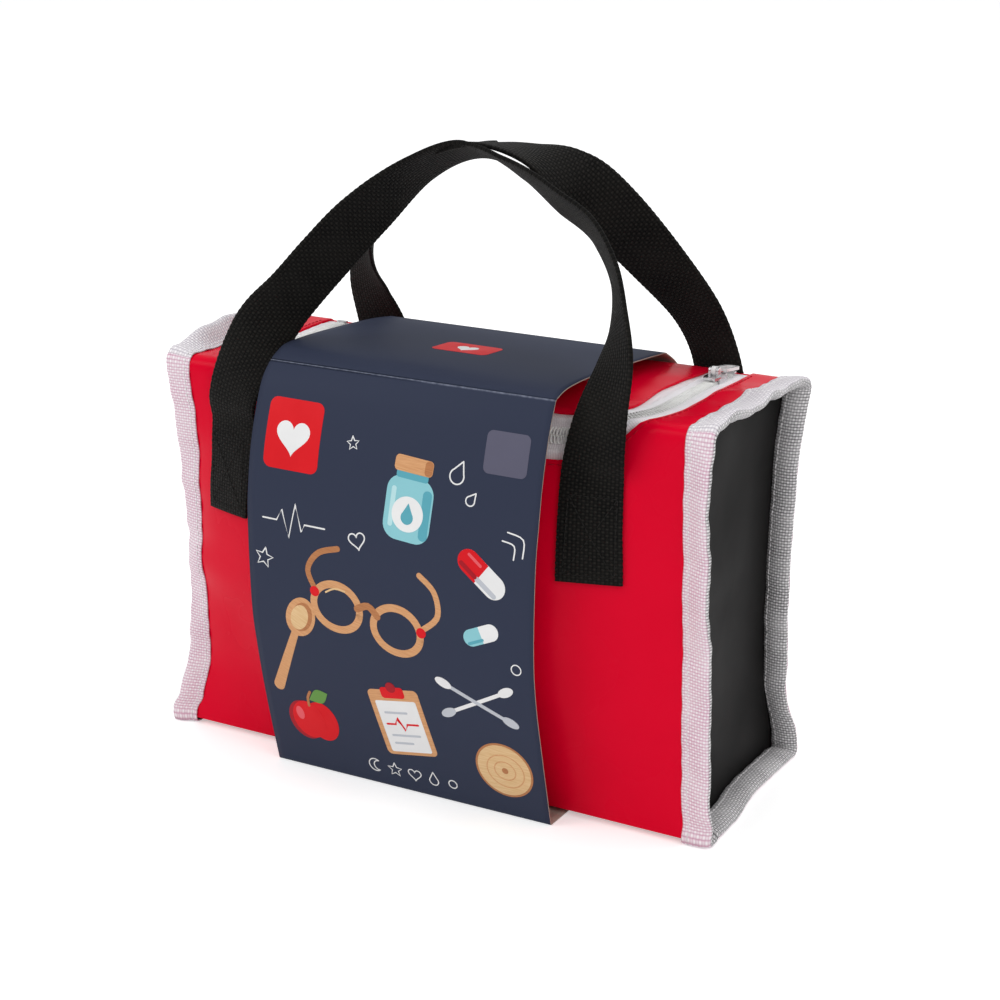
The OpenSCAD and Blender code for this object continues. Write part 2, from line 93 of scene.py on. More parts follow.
def mathNode(tree, operation, *values):
    node = tree.nodes.new("ShaderNodeMath")
    node.operation = operation
    for place, value in enumerate(values):
        feed(tree, value, node.inputs[place])
    return node.outputs[0]


def mixColour(tree, amount, first, second):
    node = tree.nodes.new("ShaderNodeMix")
    node.data_type = "RGBA"
    for place, value in ((0, amount), (6, first), (7, second)):
        feed(tree, value, node.inputs[place])
    return node.outputs[2]


def linear(*screen):
    # screen colour from 0 to 255 to scene colour
    return tuple(((c / 255 + 0.055) / 1.055) ** 2.4 if c > 10 else c / 255 / 12.92 for c in screen) + (1.0,)


def makeStage():
    bpy.ops.object.select_all(action="DESELECT")
    bpy.ops.mesh.primitive_plane_add(size=shot["floorSize"], location=(0, 0, 0))
    floor = bpy.context.object
    floor.name = "floor"
    material, tree, shader = newMaterial("paleFloor")
    shader.inputs["Base Color"].default_value = shot["floor"] + (1.0,)
    shader.inputs["Roughness"].default_value = 0.9
    shader.inputs["Specular IOR Level"].default_value = 0.1
    rays = tree.nodes.new("ShaderNodeLightPath").outputs
    seen = mathNode(tree, "MAXIMUM", rays["Is Camera Ray"], rays["Is Glossy Ray"])
    seen = mathNode(tree, "MAXIMUM", seen, rays["Is Transmission Ray"])
    glow = addNode(tree, "ShaderNodeEmission", Color=(1, 1, 1, 1),
                   Strength=mathNode(tree, "MULTIPLY", seen, shot["floorGlow"]))
    both = tree.nodes.new("ShaderNodeAddShader")
    tree.links.new(shader.outputs[0], both.inputs[0])
    tree.links.new(glow.outputs[0], both.inputs[1])
    tree.links.new(both.outputs[0], tree.nodes["Material Output"].inputs["Surface"])
    floor.data.materials.append(material)

    world = bpy.data.worlds.new("studio")
    bpy.context.scene.world = world
    world.use_nodes = True
    tree = world.node_tree
    background = tree.nodes["Background"]
    background.inputs["Color"].default_value = (1, 1, 1, 1)
    rays = tree.nodes.new("ShaderNodeLightPath").outputs
    seen = mathNode(tree, "MAXIMUM", rays["Is Camera Ray"], rays["Is Transmission Ray"])
    strength = mathNode(tree, "ADD", shot["sky"], mathNode(tree, "MULTIPLY", seen, shot["skySeen"]))
    tree.links.new(strength, background.inputs["Strength"])

    for number, (place, aim, size, power) in enumerate(shot["lamps"]):
        lamp = bpy.data.lights.new(f"softbox{number}", "AREA")
        lamp.size = size
        lamp.energy = power
        holder = bpy.data.objects.new(f"softbox{number}", lamp)
        bpy.context.scene.collection.objects.link(holder)
        holder.location = place
        holder.rotation_euler = (Vector(aim) - Vector(place)).to_track_quat("-Z", "Y").to_euler()


makeStage()
print("camera, lamps and floor set")

# the vinyl's surface laid out flat: x runs along the case, and s round it from the top front edge
case = {"halfWidth": 122.5, "halfDepth": 49.0, "height": 175.0, "baseZ": 0.9, "edgeRadius": 5.0,
        "frontBulge": 26.0, "backBulge": 15.0, "lidDome": 3.0, "vinyl": 1.1}
halfWidth, halfDepth, baseZ, edgeRadius = (case[k] for k in ("halfWidth", "halfDepth", "baseZ", "edgeRadius"))
topZ = baseZ + case["height"]
arcLength = math.pi * edgeRadius / 2
flatDepth = 2 * (halfDepth - edgeRadius)
flatHeight = case["height"] - 2 * edgeRadius
loopLength = 2 * flatDepth + 2 * flatHeight + 4 * arcLength
backEdge = flatDepth + arcLength


def bend(cy, cz, degrees):
    a = math.radians(degrees)
    return (cy + edgeRadius * math.cos(a), cz + edgeRadius * math.sin(a), math.cos(a), math.sin(a), 0.0, 0.0)


def loopAt(s):
    # y, z, outward y, outward z, bulge, and the share of the way along a flat stretch
    u = s % loopLength
    y1, z0, z1 = halfDepth - edgeRadius, baseZ + edgeRadius, topZ - edgeRadius
    a0 = arcLength / 2
    a1 = a0 + flatDepth
    a2 = a1 + arcLength
    a3 = a2 + flatHeight
    a4 = a3 + arcLength
    a5 = a4 + flatDepth
    a6 = a5 + arcLength
    a7 = a6 + flatHeight
    if u < a0:
        return bend(-y1, z1, 135 - 90 * u / arcLength)
    if u < a1:
        return (-y1 + u - a0, topZ, 0.0, 1.0, case["lidDome"], (u - a0) / flatDepth)
    if u < a2:
        return bend(y1, z1, 90 - 90 * (u - a1) / arcLength)
    if u < a3:
        return (halfDepth, z1 - (u - a2), 1.0, 0.0, case["backBulge"], (u - a2) / flatHeight)
    if u < a4:
        return bend(y1, z0, -90 * (u - a3) / arcLength)
    if u < a5:
        return (y1 - (u - a4), baseZ, 0.0, -1.0, 0.0, 0.0)
    if u < a6:
        return bend(-y1, z0, -90 - 90 * (u - a5) / arcLength)
    if u < a7:
        return (-halfDepth, z0 + (u - a6), -1.0, 0.0, case["frontBulge"], (u - a6) / flatHeight)
    return bend(-y1, z1, 180 - 90 * (u - a7) / arcLength)


def eased(t):
    t = max(0.0, min(1.0, t))
    return t * t * (3 - 2 * t)


def along(table, s):
    # smooth value from a table of (s, value) that closes on itself round the case
    u = s % loopLength
    points = sorted((a % loopLength, b) for a, b in table)
    before = (points[-1][0] - loopLength, points[-1][1])
    after = (points[0][0] + loopLength, points[0][1])
    points = [before] + points + [after]
    for (a, va), (b, vb) in zip(points, points[1:]):
        if a <= u <= b:
            return va + (vb - va) * eased((u - a) / max(b - a, 1e-6))
    return points[-1][1]


# round each end, at s: how the bound seam leans (degrees, outwards is more), and how far it is drawn in along
# the case and sinks towards its middle (mm)
seamLean = {
    1: [(-168, -6), (-159, 12), (-121, 11), (-97, 14), (-73, 27), (-54, 23), (-30, 32), (-15, 25),
        (-4, 12), (6, 14), (20, 22), (36, 8), (60, 12), (82, 16), (95, 4), (110, -6), (140, -14),
        (180, -15), (220, -16), (245, -22), (258, -6), (268, 0), (310, -3), (345, 2)],
    -1: [(-166, 20), (-150, 14), (-134, 0), (-112, -18), (-91, -28), (-70, -18), (-55, -10), (-40, 0),
         (-10, 2), (4, 16), (24, 60), (48, 78), (72, 50), (90, 14), (110, -8), (180, -16), (240, -8),
         (268, 0), (310, -2), (345, 2)],
}
seamIn = {
    1: [(-168, -4), (-150, -1.5), (-120, 0), (-80, 0.6), (-4, 1.2), (40, 0), (95, 0), (130, 2),
        (185, 3), (230, 2.6), (262, -0.5), (310, 0), (345, -3)],
    -1: [(-168, -1), (-161, 2), (-144, 4.6), (-128, 4.8), (-91, 3), (-55, 2.8), (-27, 3.6), (-5, 1),
         (50, 0.5), (95, 0), (180, 3), (262, 0), (310, 0)],
}
seamSink = {
    1: [(-160, 0), (-80, 0.5), (-4, 0), (45, -0.5), (95, 0), (135, 2.4), (185, 4), (230, 3.6),
        (262, 0), (310, 0)],
    -1: [(-160, 0), (-80, 1), (-4, 0), (45, 1), (95, 0), (180, 3), (262, 0), (310, 0)],
}

# height of the vinyl's waves, how far the gathers reach from the end seams, and how far the zip stills them
slack = {"broad": 1.5, "fine": 0.5, "gather": 1.5, "gatherReach": 13, "zipReach": 9}
foot = {"high": 44.0, "spread": 6.0, "floor": 0.12, "layer": 1.5}  # the lower edges give way to the floor
seam = {"turn": 2.5, "reach": 26}  # how far from a seam its lean sets in, and how far its pull is felt


def softWaves(x, p):
    # slack in the vinyl: broad waves, and short gathers that start at the end seams
    if p[4] == 0 and p[5] == 0:
        flat = 0.25
    else:
        flat = 0.25 + 0.75 * min(1.0, 4 * min(p[5], 1 - p[5]))
    near = math.exp(-(halfWidth - min(abs(x), halfWidth)) / slack["gatherReach"])
    y, z = p[0], p[1]
    broad = noise.noise(Vector((x * 0.018, y * 0.02, z * 0.016)) + Vector((3.1, 0, 0)))
    fine = noise.noise(Vector((x * 0.035, y * 0.06, z * 0.055)) + Vector((0, 7.7, 0)))
    gather = noise.noise(Vector((x * 0.012, y * 0.085, z * 0.085)) + Vector((5 if x > 0 else 9, 0, 2.0)))
    waved = flat * (slack["broad"] * broad + slack["fine"] * fine * (1 - near))
    waved += slack["gather"] * gather * near * (0.3 + 0.7 * flat)
    if p[3] == 1:
        # the zip keeps its run straight
        waved *= 1 - 0.9 * math.exp(-((abs(x) - wrap["zipX"]) / slack["zipReach"]) ** 4)
    return waved


def swell(x, top):
    # share of the bulge at x: full in the middle of the case, none at the end seams
    if abs(x) >= halfWidth:
        return 0.0
    return math.cos(math.pi / 2 * x / halfWidth) ** (2 if top else 1)


tables = {}


def seamAt(side, s):
    key = (side, round(s, 2))
    if key not in tables:
        lean = math.radians(along(seamLean[side], s))
        tables[key] = (lean, along(seamIn[side], s), along(seamSink[side], s))
    return tables[key]


def skin(x, s, off):
    # the point that lies off over the vinyl's outer face; beyond the end seams it follows their lean
    side = 1 if x > 0 else -1
    p = loopAt(s)
    lean, drawnIn, sink = seamAt(side, s)
    t = abs(x) - halfWidth
    fall = math.exp(min(0.0, t) / seam["reach"])
    lift = p[4] * swell(x, p[3] == 1) * abs(math.sin(math.pi * p[5])) ** 0.8 - sink * fall
    lift += softWaves(x, p) * min(1.0, p[1] / 30)
    low = max(0.0, 1 - p[1] / foot["high"]) ** 2
    if p[3] <= 0 and low > 0:
        lift += low * (foot["spread"] * abs(p[2]) * (1 if p[2] < 0 else 0.4) + 3.2 * abs(p[2] * p[3]))
    if t <= 0:
        r = lift + off
        return pressed(Vector((x - side * drawnIn * fall, p[0] + p[2] * r, p[1] + p[3] * r)), off)
    local = lean * (1 - math.exp(-t / seam["turn"]))
    mean = lean * (1 - seam["turn"] / t * (1 - math.exp(-t / seam["turn"])))
    reach = t * math.cos(mean) - off * math.sin(local)
    r = lift + t * math.sin(mean) + off * math.cos(local)
    return pressed(Vector((side * (halfWidth - drawnIn + reach), p[0] + p[2] * r, p[1] + p[3] * r)), off)


def pressed(point, off):
    # nothing goes through the floor, and the layers that lie on it keep their order
    point.z = max(point.z, foot["floor"] + 0.45 * max(0.0, foot["layer"] - off))
    return point


def gridObject(name, point, columns, rows, uv, has=None, closed=None):
    # columns and rows are lists of values; point gives the place for (column, row);
    # closed is the value after the last row, where the grid meets its first row again
    mesh = bmesh.new()
    layer = mesh.loops.layers.uv.new("UVMap")
    verts = {}

    def vertAt(i, j):
        if (i, j) not in verts:
            verts[i, j] = mesh.verts.new(point(columns[i], rows[j]) * mm)
        return verts[i, j]

    total = len(rows) - 1 if closed is None else len(rows)
    for i in range(len(columns) - 1):
        for j in range(total):
            if has and not has(i, j):
                continue
            cells = [(i, j), (i + 1, j), (i + 1, j + 1), (i, j + 1)]
            face = mesh.faces.new([vertAt(a, b % len(rows)) for a, b in cells])
            face.smooth = True
            for loop, (a, b) in zip(face.loops, cells):
                r = rows[b] if b < len(rows) else closed
                loop[layer].uv = uv(columns[a], r)
    return meshThing(name, mesh)


def meshThing(name, mesh):
    data = bpy.data.meshes.new(name)
    mesh.to_mesh(data)
    mesh.free()
    thing = bpy.data.objects.new(name, data)
    bpy.context.scene.collection.objects.link(thing)
    return thing


def faceOut(thing, pick, way):
    # turns the faces so that the picked one looks along way
    mesh = bmesh.new()
    mesh.from_mesh(thing.data)
    bmesh.ops.recalc_face_normals(mesh, faces=mesh.faces)
    if pick(mesh).normal.dot(way) < 0:
        bmesh.ops.reverse_faces(mesh, faces=mesh.faces)
    mesh.to_mesh(thing.data)
    mesh.free()


def highestFace(mesh):
    return max(mesh.faces, key=lambda f: f.calc_center_median().z)


def applyModifiers(thing):
    bpy.ops.object.select_all(action="DESELECT")
    bpy.context.view_layer.objects.active = thing
    thing.select_set(True)
    for modifier in list(thing.modifiers):
        bpy.ops.object.modifier_apply(modifier=modifier.name)


def thicken(thing, thickness, roundEdge=0.0):
    # gives a grid its wall, on the inner side
    wall = thing.modifiers.new("wall", "SOLIDIFY")
    wall.thickness = thickness * mm
    wall.offset = -1.0
    wall.use_even_offset = False
    if roundEdge:
        edge = thing.modifiers.new("edge", "BEVEL")
        edge.width = roundEdge * mm
        edge.segments = 2
        edge.limit_method = "ANGLE"
        edge.angle_limit = math.radians(60)
    applyModifiers(thing)
    return thing


def spread(a, b, n):
    return [a + (b - a) * i / n for i in range(n)]


def dress(thing, material, slotName, *nodes, body="case"):
    thing.data.materials.append(material)
    if nodes:
        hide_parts(*nodes)
    if body:
        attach(thing, body)
    return thing


def tubeObject(name, paths, radius, sides=5):
    # round cords along lists of points in millimetres
    mesh = bmesh.new()
    for path in paths:
        addTube(mesh, path, radius, sides)
    bmesh.ops.recalc_face_normals(mesh, faces=mesh.faces)
    return meshThing(name, mesh)


def addTube(mesh, path, radius, sides):
    count = len(path)
    rings, frameUp = [], None
    for i, p in enumerate(path):
        way = (path[min(i + 1, count - 1)] - path[max(i - 1, 0)]).normalized()
        if frameUp is None:
            frameUp = Vector((0, 0, 1)) if abs(way.z) < 0.9 else Vector((0, 1, 0))
        frameUp = (frameUp - way * frameUp.dot(way)).normalized()
        beside = way.cross(frameUp)
        rings.append([mesh.verts.new((p + radius * (frameUp * math.cos(a) + beside * math.sin(a))) * mm)
                      for a in (2 * math.pi * k / sides for k in range(sides))])
    for one, two in zip(rings, rings[1:]):
        for k in range(sides):
            mesh.faces.new((one[k], one[(k + 1) % sides], two[(k + 1) % sides], two[k])).smooth = True
    mesh.faces.new(rings[0])
    mesh.faces.new(rings[-1])


def stitches(name, rows, pitch, material, slotName, radius=0.2):
    # rows are (place, length) with place giving the point at a distance, and the way out of the cloth there
    paths = []
    for place, length in rows:
        count = int(length / pitch)
        for i in range(count):
            a, b = (i + 0.1) * length / count, (i + 0.9) * length / count
            path = []
            for share, high in ((0.0, -0.3), (0.14, 0.1), (0.5, 0.2), (0.86, 0.1), (1.0, -0.3)):
                p, out = place(a + (b - a) * share)
                path.append(p + out * high)
            paths.append(path)
    dress(tubeObject(name, paths, radius), material, slotName)


def withOut(point):
    # turns a place with a height over the cloth into a place and the way out
    def place(l):
        base = point(l, 0.0)
        return base, (point(l, 0.5) - base).normalized()
    return place


def makeGroup(name, inputs, outputs):
    group = bpy.data.node_groups.new(name, "ShaderNodeTree")
    for label, kind, value in inputs:
        made = group.interface.new_socket(name=label, in_out="INPUT", socket_type=kind)
        if value is not None:
            made.default_value = value
    for label, kind in outputs:
        group.interface.new_socket(name=label, in_out="OUTPUT", socket_type=kind)
    return group, group.nodes.new("NodeGroupInput"), group.nodes.new("NodeGroupOutput")


def makeThreads():
    # woven threads over a UV map in millimetres: x across the tape, y along it
    group, given, out = makeGroup(
        "threads",
        [("Vector", "NodeSocketVector", None), ("Across", "NodeSocketFloat", 1.2),
         ("Along", "NodeSocketFloat", 1.2), ("Flat", "NodeSocketFloat", 0.5)],
        [("Height", "NodeSocketFloat"), ("Gap", "NodeSocketFloat")])
    split = addNode(group, "ShaderNodeSeparateXYZ", Vector=given.outputs["Vector"])
    u = mathNode(group, "DIVIDE", split.outputs[0], given.outputs["Across"])
    v = mathNode(group, "DIVIDE", split.outputs[1], given.outputs["Along"])
    su = mathNode(group, "SINE", mathNode(group, "MULTIPLY", u, math.pi))
    sv = mathNode(group, "SINE", mathNode(group, "MULTIPLY", v, math.pi))
    checks = mathNode(group, "MULTIPLY", su, sv)
    warp = mathNode(group, "MAXIMUM", checks, 0.0)
    weft = mathNode(group, "MAXIMUM", mathNode(group, "MULTIPLY", checks, -1.0), 0.0)
    rib = mathNode(group, "ABSOLUTE", sv)
    woven = mathNode(group, "ADD", mathNode(group, "POWER", warp, 0.5),
                     mathNode(group, "MULTIPLY", mathNode(group, "POWER", weft, 0.5), 0.62))
    both = group.nodes.new("ShaderNodeMix")
    group.links.new(given.outputs["Flat"], both.inputs[0])
    group.links.new(woven, both.inputs[2])
    group.links.new(mathNode(group, "POWER", rib, 0.6), both.inputs[3])
    group.links.new(both.outputs[0], out.inputs["Height"])
    gap = mathNode(group, "SUBTRACT", 1.0, both.outputs[0])
    group.links.new(mathNode(group, "POWER", gap, 1.5), out.inputs["Gap"])
    return group


def makeGrain():
    # fine grain of coated sheet, and slow cloudy wear
    group, given, out = makeGroup(
        "grain",
        [("Vector", "NodeSocketVector", None), ("Size", "NodeSocketFloat", 1.0),
         ("Cloud", "NodeSocketFloat", 30.0)],
        [("Height", "NodeSocketFloat"), ("Wear", "NodeSocketFloat")])
    place = given.outputs["Vector"]
    scale = mathNode(group, "DIVIDE", 1000.0, given.outputs["Size"])
    cells = addNode(group, "ShaderNodeTexVoronoi", Vector=place, Scale=scale)
    quick = addNode(group, "ShaderNodeTexNoise", Vector=place, Scale=scale, Detail=2.0)
    total = mathNode(group, "ADD", mathNode(group, "MULTIPLY", cells.outputs["Distance"], 0.6),
                     mathNode(group, "MULTIPLY", quick.outputs["Fac"], 0.4))
    group.links.new(total, out.inputs["Height"])
    slow = addNode(group, "ShaderNodeTexNoise", Vector=place, Scale=given.outputs["Cloud"], Detail=3.0)
    group.links.new(slow.outputs["Fac"], out.inputs["Wear"])
    return group


threadsGroup = makeThreads()
grainGroup = makeGrain()


def useGroup(tree, group, **inputs):
    node = tree.nodes.new("ShaderNodeGroup")
    node.node_tree = group
    for label, value in inputs.items():
        feed(tree, value, node.inputs[label])
    return node


def bumpFrom(tree, shader, height, strength, distance):
    node = addNode(tree, "ShaderNodeBump", Strength=strength, Distance=distance * mm, Height=height)
    tree.links.new(node.outputs["Normal"], shader.inputs["Normal"])


def setInputs(tree, shader, **values):
    # the shader's inputs by name, with a low line for each space
    for label, value in values.items():
        feed(tree, value, shader.inputs[label.replace("_", " ")])


def ramped(tree, value, low, high, start=0.0, end=1.0):
    # value from start to end is carried to low to high
    node = tree.nodes.new("ShaderNodeMapRange")
    for place, number in enumerate((value, start, end, low, high)):
        feed(tree, number, node.inputs[place])
    return node.outputs[0]


def makeVinyl(name, colour, dark, rough, shine, grainSize, bump):
    material, tree, shader = newMaterial(name)
    place = tree.nodes.new("ShaderNodeTexCoord").outputs["Object"]
    grain = useGroup(tree, grainGroup, Vector=place, Size=grainSize, Cloud=22.0)
    wear = grain.outputs["Wear"]
    setInputs(tree, shader, Base_Color=mixColour(tree, ramped(tree, wear, 0.0, 1.0, 0.35, 0.7), colour, dark),
              Roughness=ramped(tree, wear, rough - 0.05, rough + 0.08, 0.3, 0.7), Specular_IOR_Level=shine)
    bumpFrom(tree, shader, grain.outputs["Height"], bump, 0.08)
    return material


redVinyl = makeVinyl("redVinyl", linear(224, 0, 42), linear(219, 0, 40), 0.25, 0.055, 0.9, 0.07)
blackVinyl = makeVinyl("blackVinyl", linear(30, 29, 29), linear(26, 25, 25), 0.5, 0.05, 0.8, 0.2)

# widths of the threads in mm, how flat they are pressed, and how much the gaps between them show
tapes = {
    "binding": {"thread": linear(255, 252, 254), "gap": linear(208, 150, 178), "inside": 13.0,
                # the grey-lilac gap colour for the binding over the top of the case is painted shade
                "gapInside": linear(22, 22, 26), "gapShadeColourOnTop": linear(176, 168, 180), "across": 1.3,
                "along": 1.3, "flat": 0.35, "rough": 0.62, "shine": 0.3, "depth": 0.26, "closed": 0.62},
    "zip": {"thread": linear(250, 247, 250), "gap": linear(214, 208, 214), "across": 0.7, "along": 0.9,
            "flat": 0.5, "rough": 0.42, "shine": 0.3, "depth": 0.08, "closed": 0.75},
    "webbing": {"thread": linear(41, 39, 36), "gap": linear(2, 2, 2), "across": 1.7, "along": 1.3,
                "flat": 0.0, "rough": 0.8, "shine": 0.12, "depth": 0.6, "closed": 0.4},
}


def makeTape(name, tape):
    # woven tape; the gaps between its threads show what is behind it, and on the binding over the top of the
    # case a painted shade instead
    material, tree, shader = newMaterial(name)
    place = tree.nodes.new("ShaderNodeUVMap").outputs["UV"]
    threads = useGroup(tree, threadsGroup, Vector=place, Across=tape["across"], Along=tape["along"],
                       Flat=tape["flat"])
    behind = tape["gap"]
    if "inside" in tape:
        # over the top of the case the gaps take a grey-lilac painted shade of the standing flange in place of
        # the red behind them; on the black end the black panel shows through
        across, down = addNode(tree, "ShaderNodeSeparateXYZ", Vector=place).outputs[:2]
        paintedShadeOnTop = mathNode(tree, "MULTIPLY", ramped(tree, down, 0.0, 1.0, -3.0, 1.0),
                         ramped(tree, down, 1.0, 0.0, 96.0, 100.0))
        inside = ramped(tree, across, 0.0, 1.0, tape["inside"] - 0.4, tape["inside"] + 0.4)
        behind = mixColour(tree, inside, mixColour(tree, paintedShadeOnTop, behind, tape["gapShadeColourOnTop"]), tape["gapInside"])
    grain = useGroup(tree, grainGroup, Vector=place, Size=900.0, Cloud=0.06)
    loose = ramped(tree, grain.outputs["Wear"], 0.85, 1.25, 0.3, 0.7)
    gap = mathNode(tree, "POWER", threads.outputs["Gap"], tape["closed"])
    amount = mathNode(tree, "MINIMUM", mathNode(tree, "MULTIPLY", gap, loose), 1.0)
    setInputs(tree, shader, Base_Color=mixColour(tree, amount, tape["thread"], behind),
              Roughness=tape["rough"], Specular_IOR_Level=tape["shine"], Sheen_Weight=tape["shine"] * 0.4,
              Sheen_Roughness=0.4)
    bumpFrom(tree, shader, threads.outputs["Height"], 0.8, tape["depth"])
    return material


bindingTape = makeTape("bindingTape", tapes["binding"])
zipCloth = makeTape("zipCloth", tapes["zip"])
blackWebbing = makeTape("blackWebbing", tapes["webbing"])


def makePlain(name, colour, rough, metallic=0.0, coat=0.0, wear=0.9, shine=0.5):
    material, tree, shader = newMaterial(name)
    place = tree.nodes.new("ShaderNodeTexCoord").outputs["Object"]
    grain = useGroup(tree, grainGroup, Vector=place, Size=0.5, Cloud=60.0)
    worn = tuple(c * wear for c in colour[:3]) + (1.0,)
    tone = ramped(tree, grain.outputs["Wear"], 0, 1, 0.35, 0.7)
    setInputs(tree, shader, Base_Color=mixColour(tree, tone, colour, worn), Metallic=metallic,
              Roughness=ramped(tree, grain.outputs["Wear"], rough * 0.85, rough * 1.2, 0.3, 0.7),
              Coat_Weight=coat, Specular_IOR_Level=shine)
    bumpFrom(tree, shader, grain.outputs["Height"], 0.08, 0.05)
    return material


coilPlastic = makePlain("coilPlastic", linear(244, 244, 242), 0.35)
platedMetal = makePlain("platedMetal", linear(236, 236, 238), 0.24, metallic=1.0)
whiteEnamel = makePlain("whiteEnamel", linear(240, 240, 240), 0.25, coat=0.4)
whiteThread = makePlain("whiteThread", linear(238, 235, 236), 0.6)
blackThread = makePlain("blackThread", linear(30, 29, 28), 0.7, shine=0.2)
redThread = makePlain("redThread", linear(190, 12, 40), 0.6, shine=0.2)


def makeCard(name, colour, rubbed):
    # printed card, rubbed paler along the crease at v = 0
    material, tree, shader = newMaterial(name)
    place = tree.nodes.new("ShaderNodeUVMap").outputs["UV"]
    split = addNode(tree, "ShaderNodeSeparateXYZ", Vector=place)
    grain = useGroup(tree, grainGroup, Vector=place, Size=700.0, Cloud=0.4)
    near = ramped(tree, mathNode(tree, "ABSOLUTE", split.outputs[1]), 1.0, 0.0, 0.15, 0.75)
    amount = mathNode(tree, "MULTIPLY", near, ramped(tree, grain.outputs["Wear"], 0.25, 0.9, 0.35, 0.65))
    setInputs(tree, shader, Base_Color=mixColour(tree, amount, colour, rubbed), Roughness=0.55,
              Specular_IOR_Level=0.08)
    bumpFrom(tree, shader, grain.outputs["Height"], 0.06, 0.03)
    return material


slateCard = makeCard("slateCard", linear(51, 57, 76), linear(128, 134, 152))
bareCard = makePlain("bareCard", linear(178, 160, 148), 0.85)
print("finishes made")

# the vinyl wrap, and the lid in its opening; band is the strip above which the wrap's rows follow the opening
wrap = {"zipX": 100.0, "cornerX": 64.0, "cornerRadius": 36.0, "drop": 9.0, "show": 9.0, "band": 26.0,
        "slack": 4.5, "slackAt": 48.0, "slackReach": 26.0}
cornerS = wrap["cornerRadius"] - wrap["drop"]
zipEnd = backEdge - 8
borderX = wrap["zipX"] + wrap["show"]


def wrapTop(x):
    # the opening's edge: s at x
    if abs(x) <= wrap["cornerX"]:
        return -wrap["drop"] - wrap["show"]
    radius = wrap["cornerRadius"] + wrap["show"]
    return cornerS - math.sqrt(max(0.0, radius ** 2 - (abs(x) - wrap["cornerX"]) ** 2))


def makeWrap():
    outer = [borderX + 2.25 * i for i in range(6)]
    outer += [halfWidth + t for t in (0.0, 0.7, 1.5, 3, 5, 7, 9, 10.4)]
    columns = 56
    middle = [borderX * math.sin(math.radians(90 * (2 * i / columns - 1))) for i in range(1, columns)]
    xs = sorted([-x for x in outer]) + middle + outer
    first, last = len(outer) - 1, len(outer) - 1 + columns
    below = spread(backEdge, loopLength - wrap["band"], 118)
    upper, top = 24, 26
    rows = list(range(len(below) + upper + top))

    def rowS(x, j):
        if j < len(below):
            return below[j]
        f = (j - len(below)) / upper
        if f <= 1:
            edge = wrapTop(min(abs(x), borderX))
            return loopLength - wrap["band"] + (wrap["band"] + edge) * f
        return loopLength + cornerS + (backEdge - cornerS) * (j - len(below) - upper) / top

    def point(x, j):
        return skin(x, rowS(x, j), 0)

    def has(i, j):
        return i < first or i >= last or j < len(below) + upper

    thing = gridObject("vinylWrap", point, xs, rows, lambda x, j: (x, rowS(x, j)), has, closed=len(rows))
    thicken(thing, case["vinyl"], roundEdge=0.4)
    return thing


def lidHalf(s):
    # half of the lid's width at s; its sides are drawn in a little
    radius = wrap["cornerRadius"] - wrap["show"]
    half = wrap["cornerX"] + math.sqrt(max(0.0, radius ** 2 - max(0.0, cornerS - s) ** 2))
    return half - wrap["slack"] * math.exp(-((s - wrap["slackAt"]) / wrap["slackReach"]) ** 2)


def makeLid():
    columns, count = 60, 40
    front = cornerS - (wrap["cornerRadius"] - wrap["show"])
    shares = [math.sin(math.radians(90 * (2 * i / columns - 1))) for i in range(columns + 1)]
    ss = [front + (backEdge - front) * (1 - math.cos(math.radians(90 * j / count))) for j in range(count + 1)]
    thing = gridObject("lidPanel", lambda a, s: skin(a * max(1.0, lidHalf(s)), s, 0), shares, ss,
                       lambda a, s: (a * lidHalf(s), s))
    thicken(thing, case["vinyl"], roundEdge=0.4)
    return thing


vinylWrap = makeWrap()
dress(vinylWrap, redVinyl, "red_vinyl", "vinyl_wrap")
lidPanel = makeLid()
dress(lidPanel, redVinyl, "red_vinyl", "lid_panel")
print("wrap and lid made:", len(vinylWrap.data.polygons), "faces")

# end panels: a black panel in each end, with its rim turned out into the seam
ends = {"rows": 26, "rimIn": 1.15, "wall": 0.9, "hollow": 1.2, "hollowDeep": 46, "hollowHigh": 86,
        "middle": 88}


def makeEnd(name, side):
    ss = spread(0, loopLength, 240)
    shares = [0.02 + 0.9 * i / ends["rows"] for i in range(ends["rows"] + 1)] + [0.94, 0.96, 0.975, 0.985]
    rim = [0.0, 0.7, 1.6, 3, 5, 8, 10.4]
    steps = shares + [1 + t for t in rim]

    def point(k, s):
        edge = skin(side * (halfWidth + max(k - 1, 0)), s, -ends["rimIn"])
        if k >= 1:
            return edge
        foldLine = skin(side * halfWidth, s, -ends["rimIn"])
        middle = Vector((side * (halfWidth - 0.5), 0, baseZ + case["height"] / 2))
        loop = loopAt(s)
        plain = Vector((side * (halfWidth - 1.2), loop[0] - loop[2] * ends["rimIn"],
                        loop[1] - loop[3] * ends["rimIn"]))
        p = middle.lerp(plain, k) + (foldLine - plain) * k ** 6
        acrossShare = min(1, abs(p.y) / ends["hollowDeep"])
        upShare = min(1, abs(p.z - ends["middle"]) / ends["hollowHigh"])
        hollow = ends["hollow"] * math.cos(math.pi / 2 * acrossShare) * math.cos(math.pi / 2 * upShare)
        ripple = noise.noise(Vector((side * 4.0, p.y * 0.025, p.z * 0.022)))
        p.x -= side * (hollow + ripple * min(1.0, (1 - k) * 7))
        return p

    thing = gridObject(name, point, steps, ss, lambda k, s: (k * 20, s), closed=loopLength)
    mesh = bmesh.new()
    mesh.from_mesh(thing.data)
    inner = [e for e in mesh.edges if e.is_boundary and abs(e.verts[0].co.y) < 0.02 and
             abs(e.verts[0].co.z - ends["middle"] * mm) < 0.02]
    bmesh.ops.holes_fill(mesh, edges=inner)
    for face in mesh.faces:
        face.smooth = True
    mesh.to_mesh(thing.data)
    mesh.free()
    spot = Vector((side * 0.122, 0.01, 0.09))
    faceOut(thing, lambda mesh: min(mesh.faces, key=lambda f: (f.calc_center_median() - spot).length),
            Vector((side, 0, 0)))
    return thicken(thing, ends["wall"])


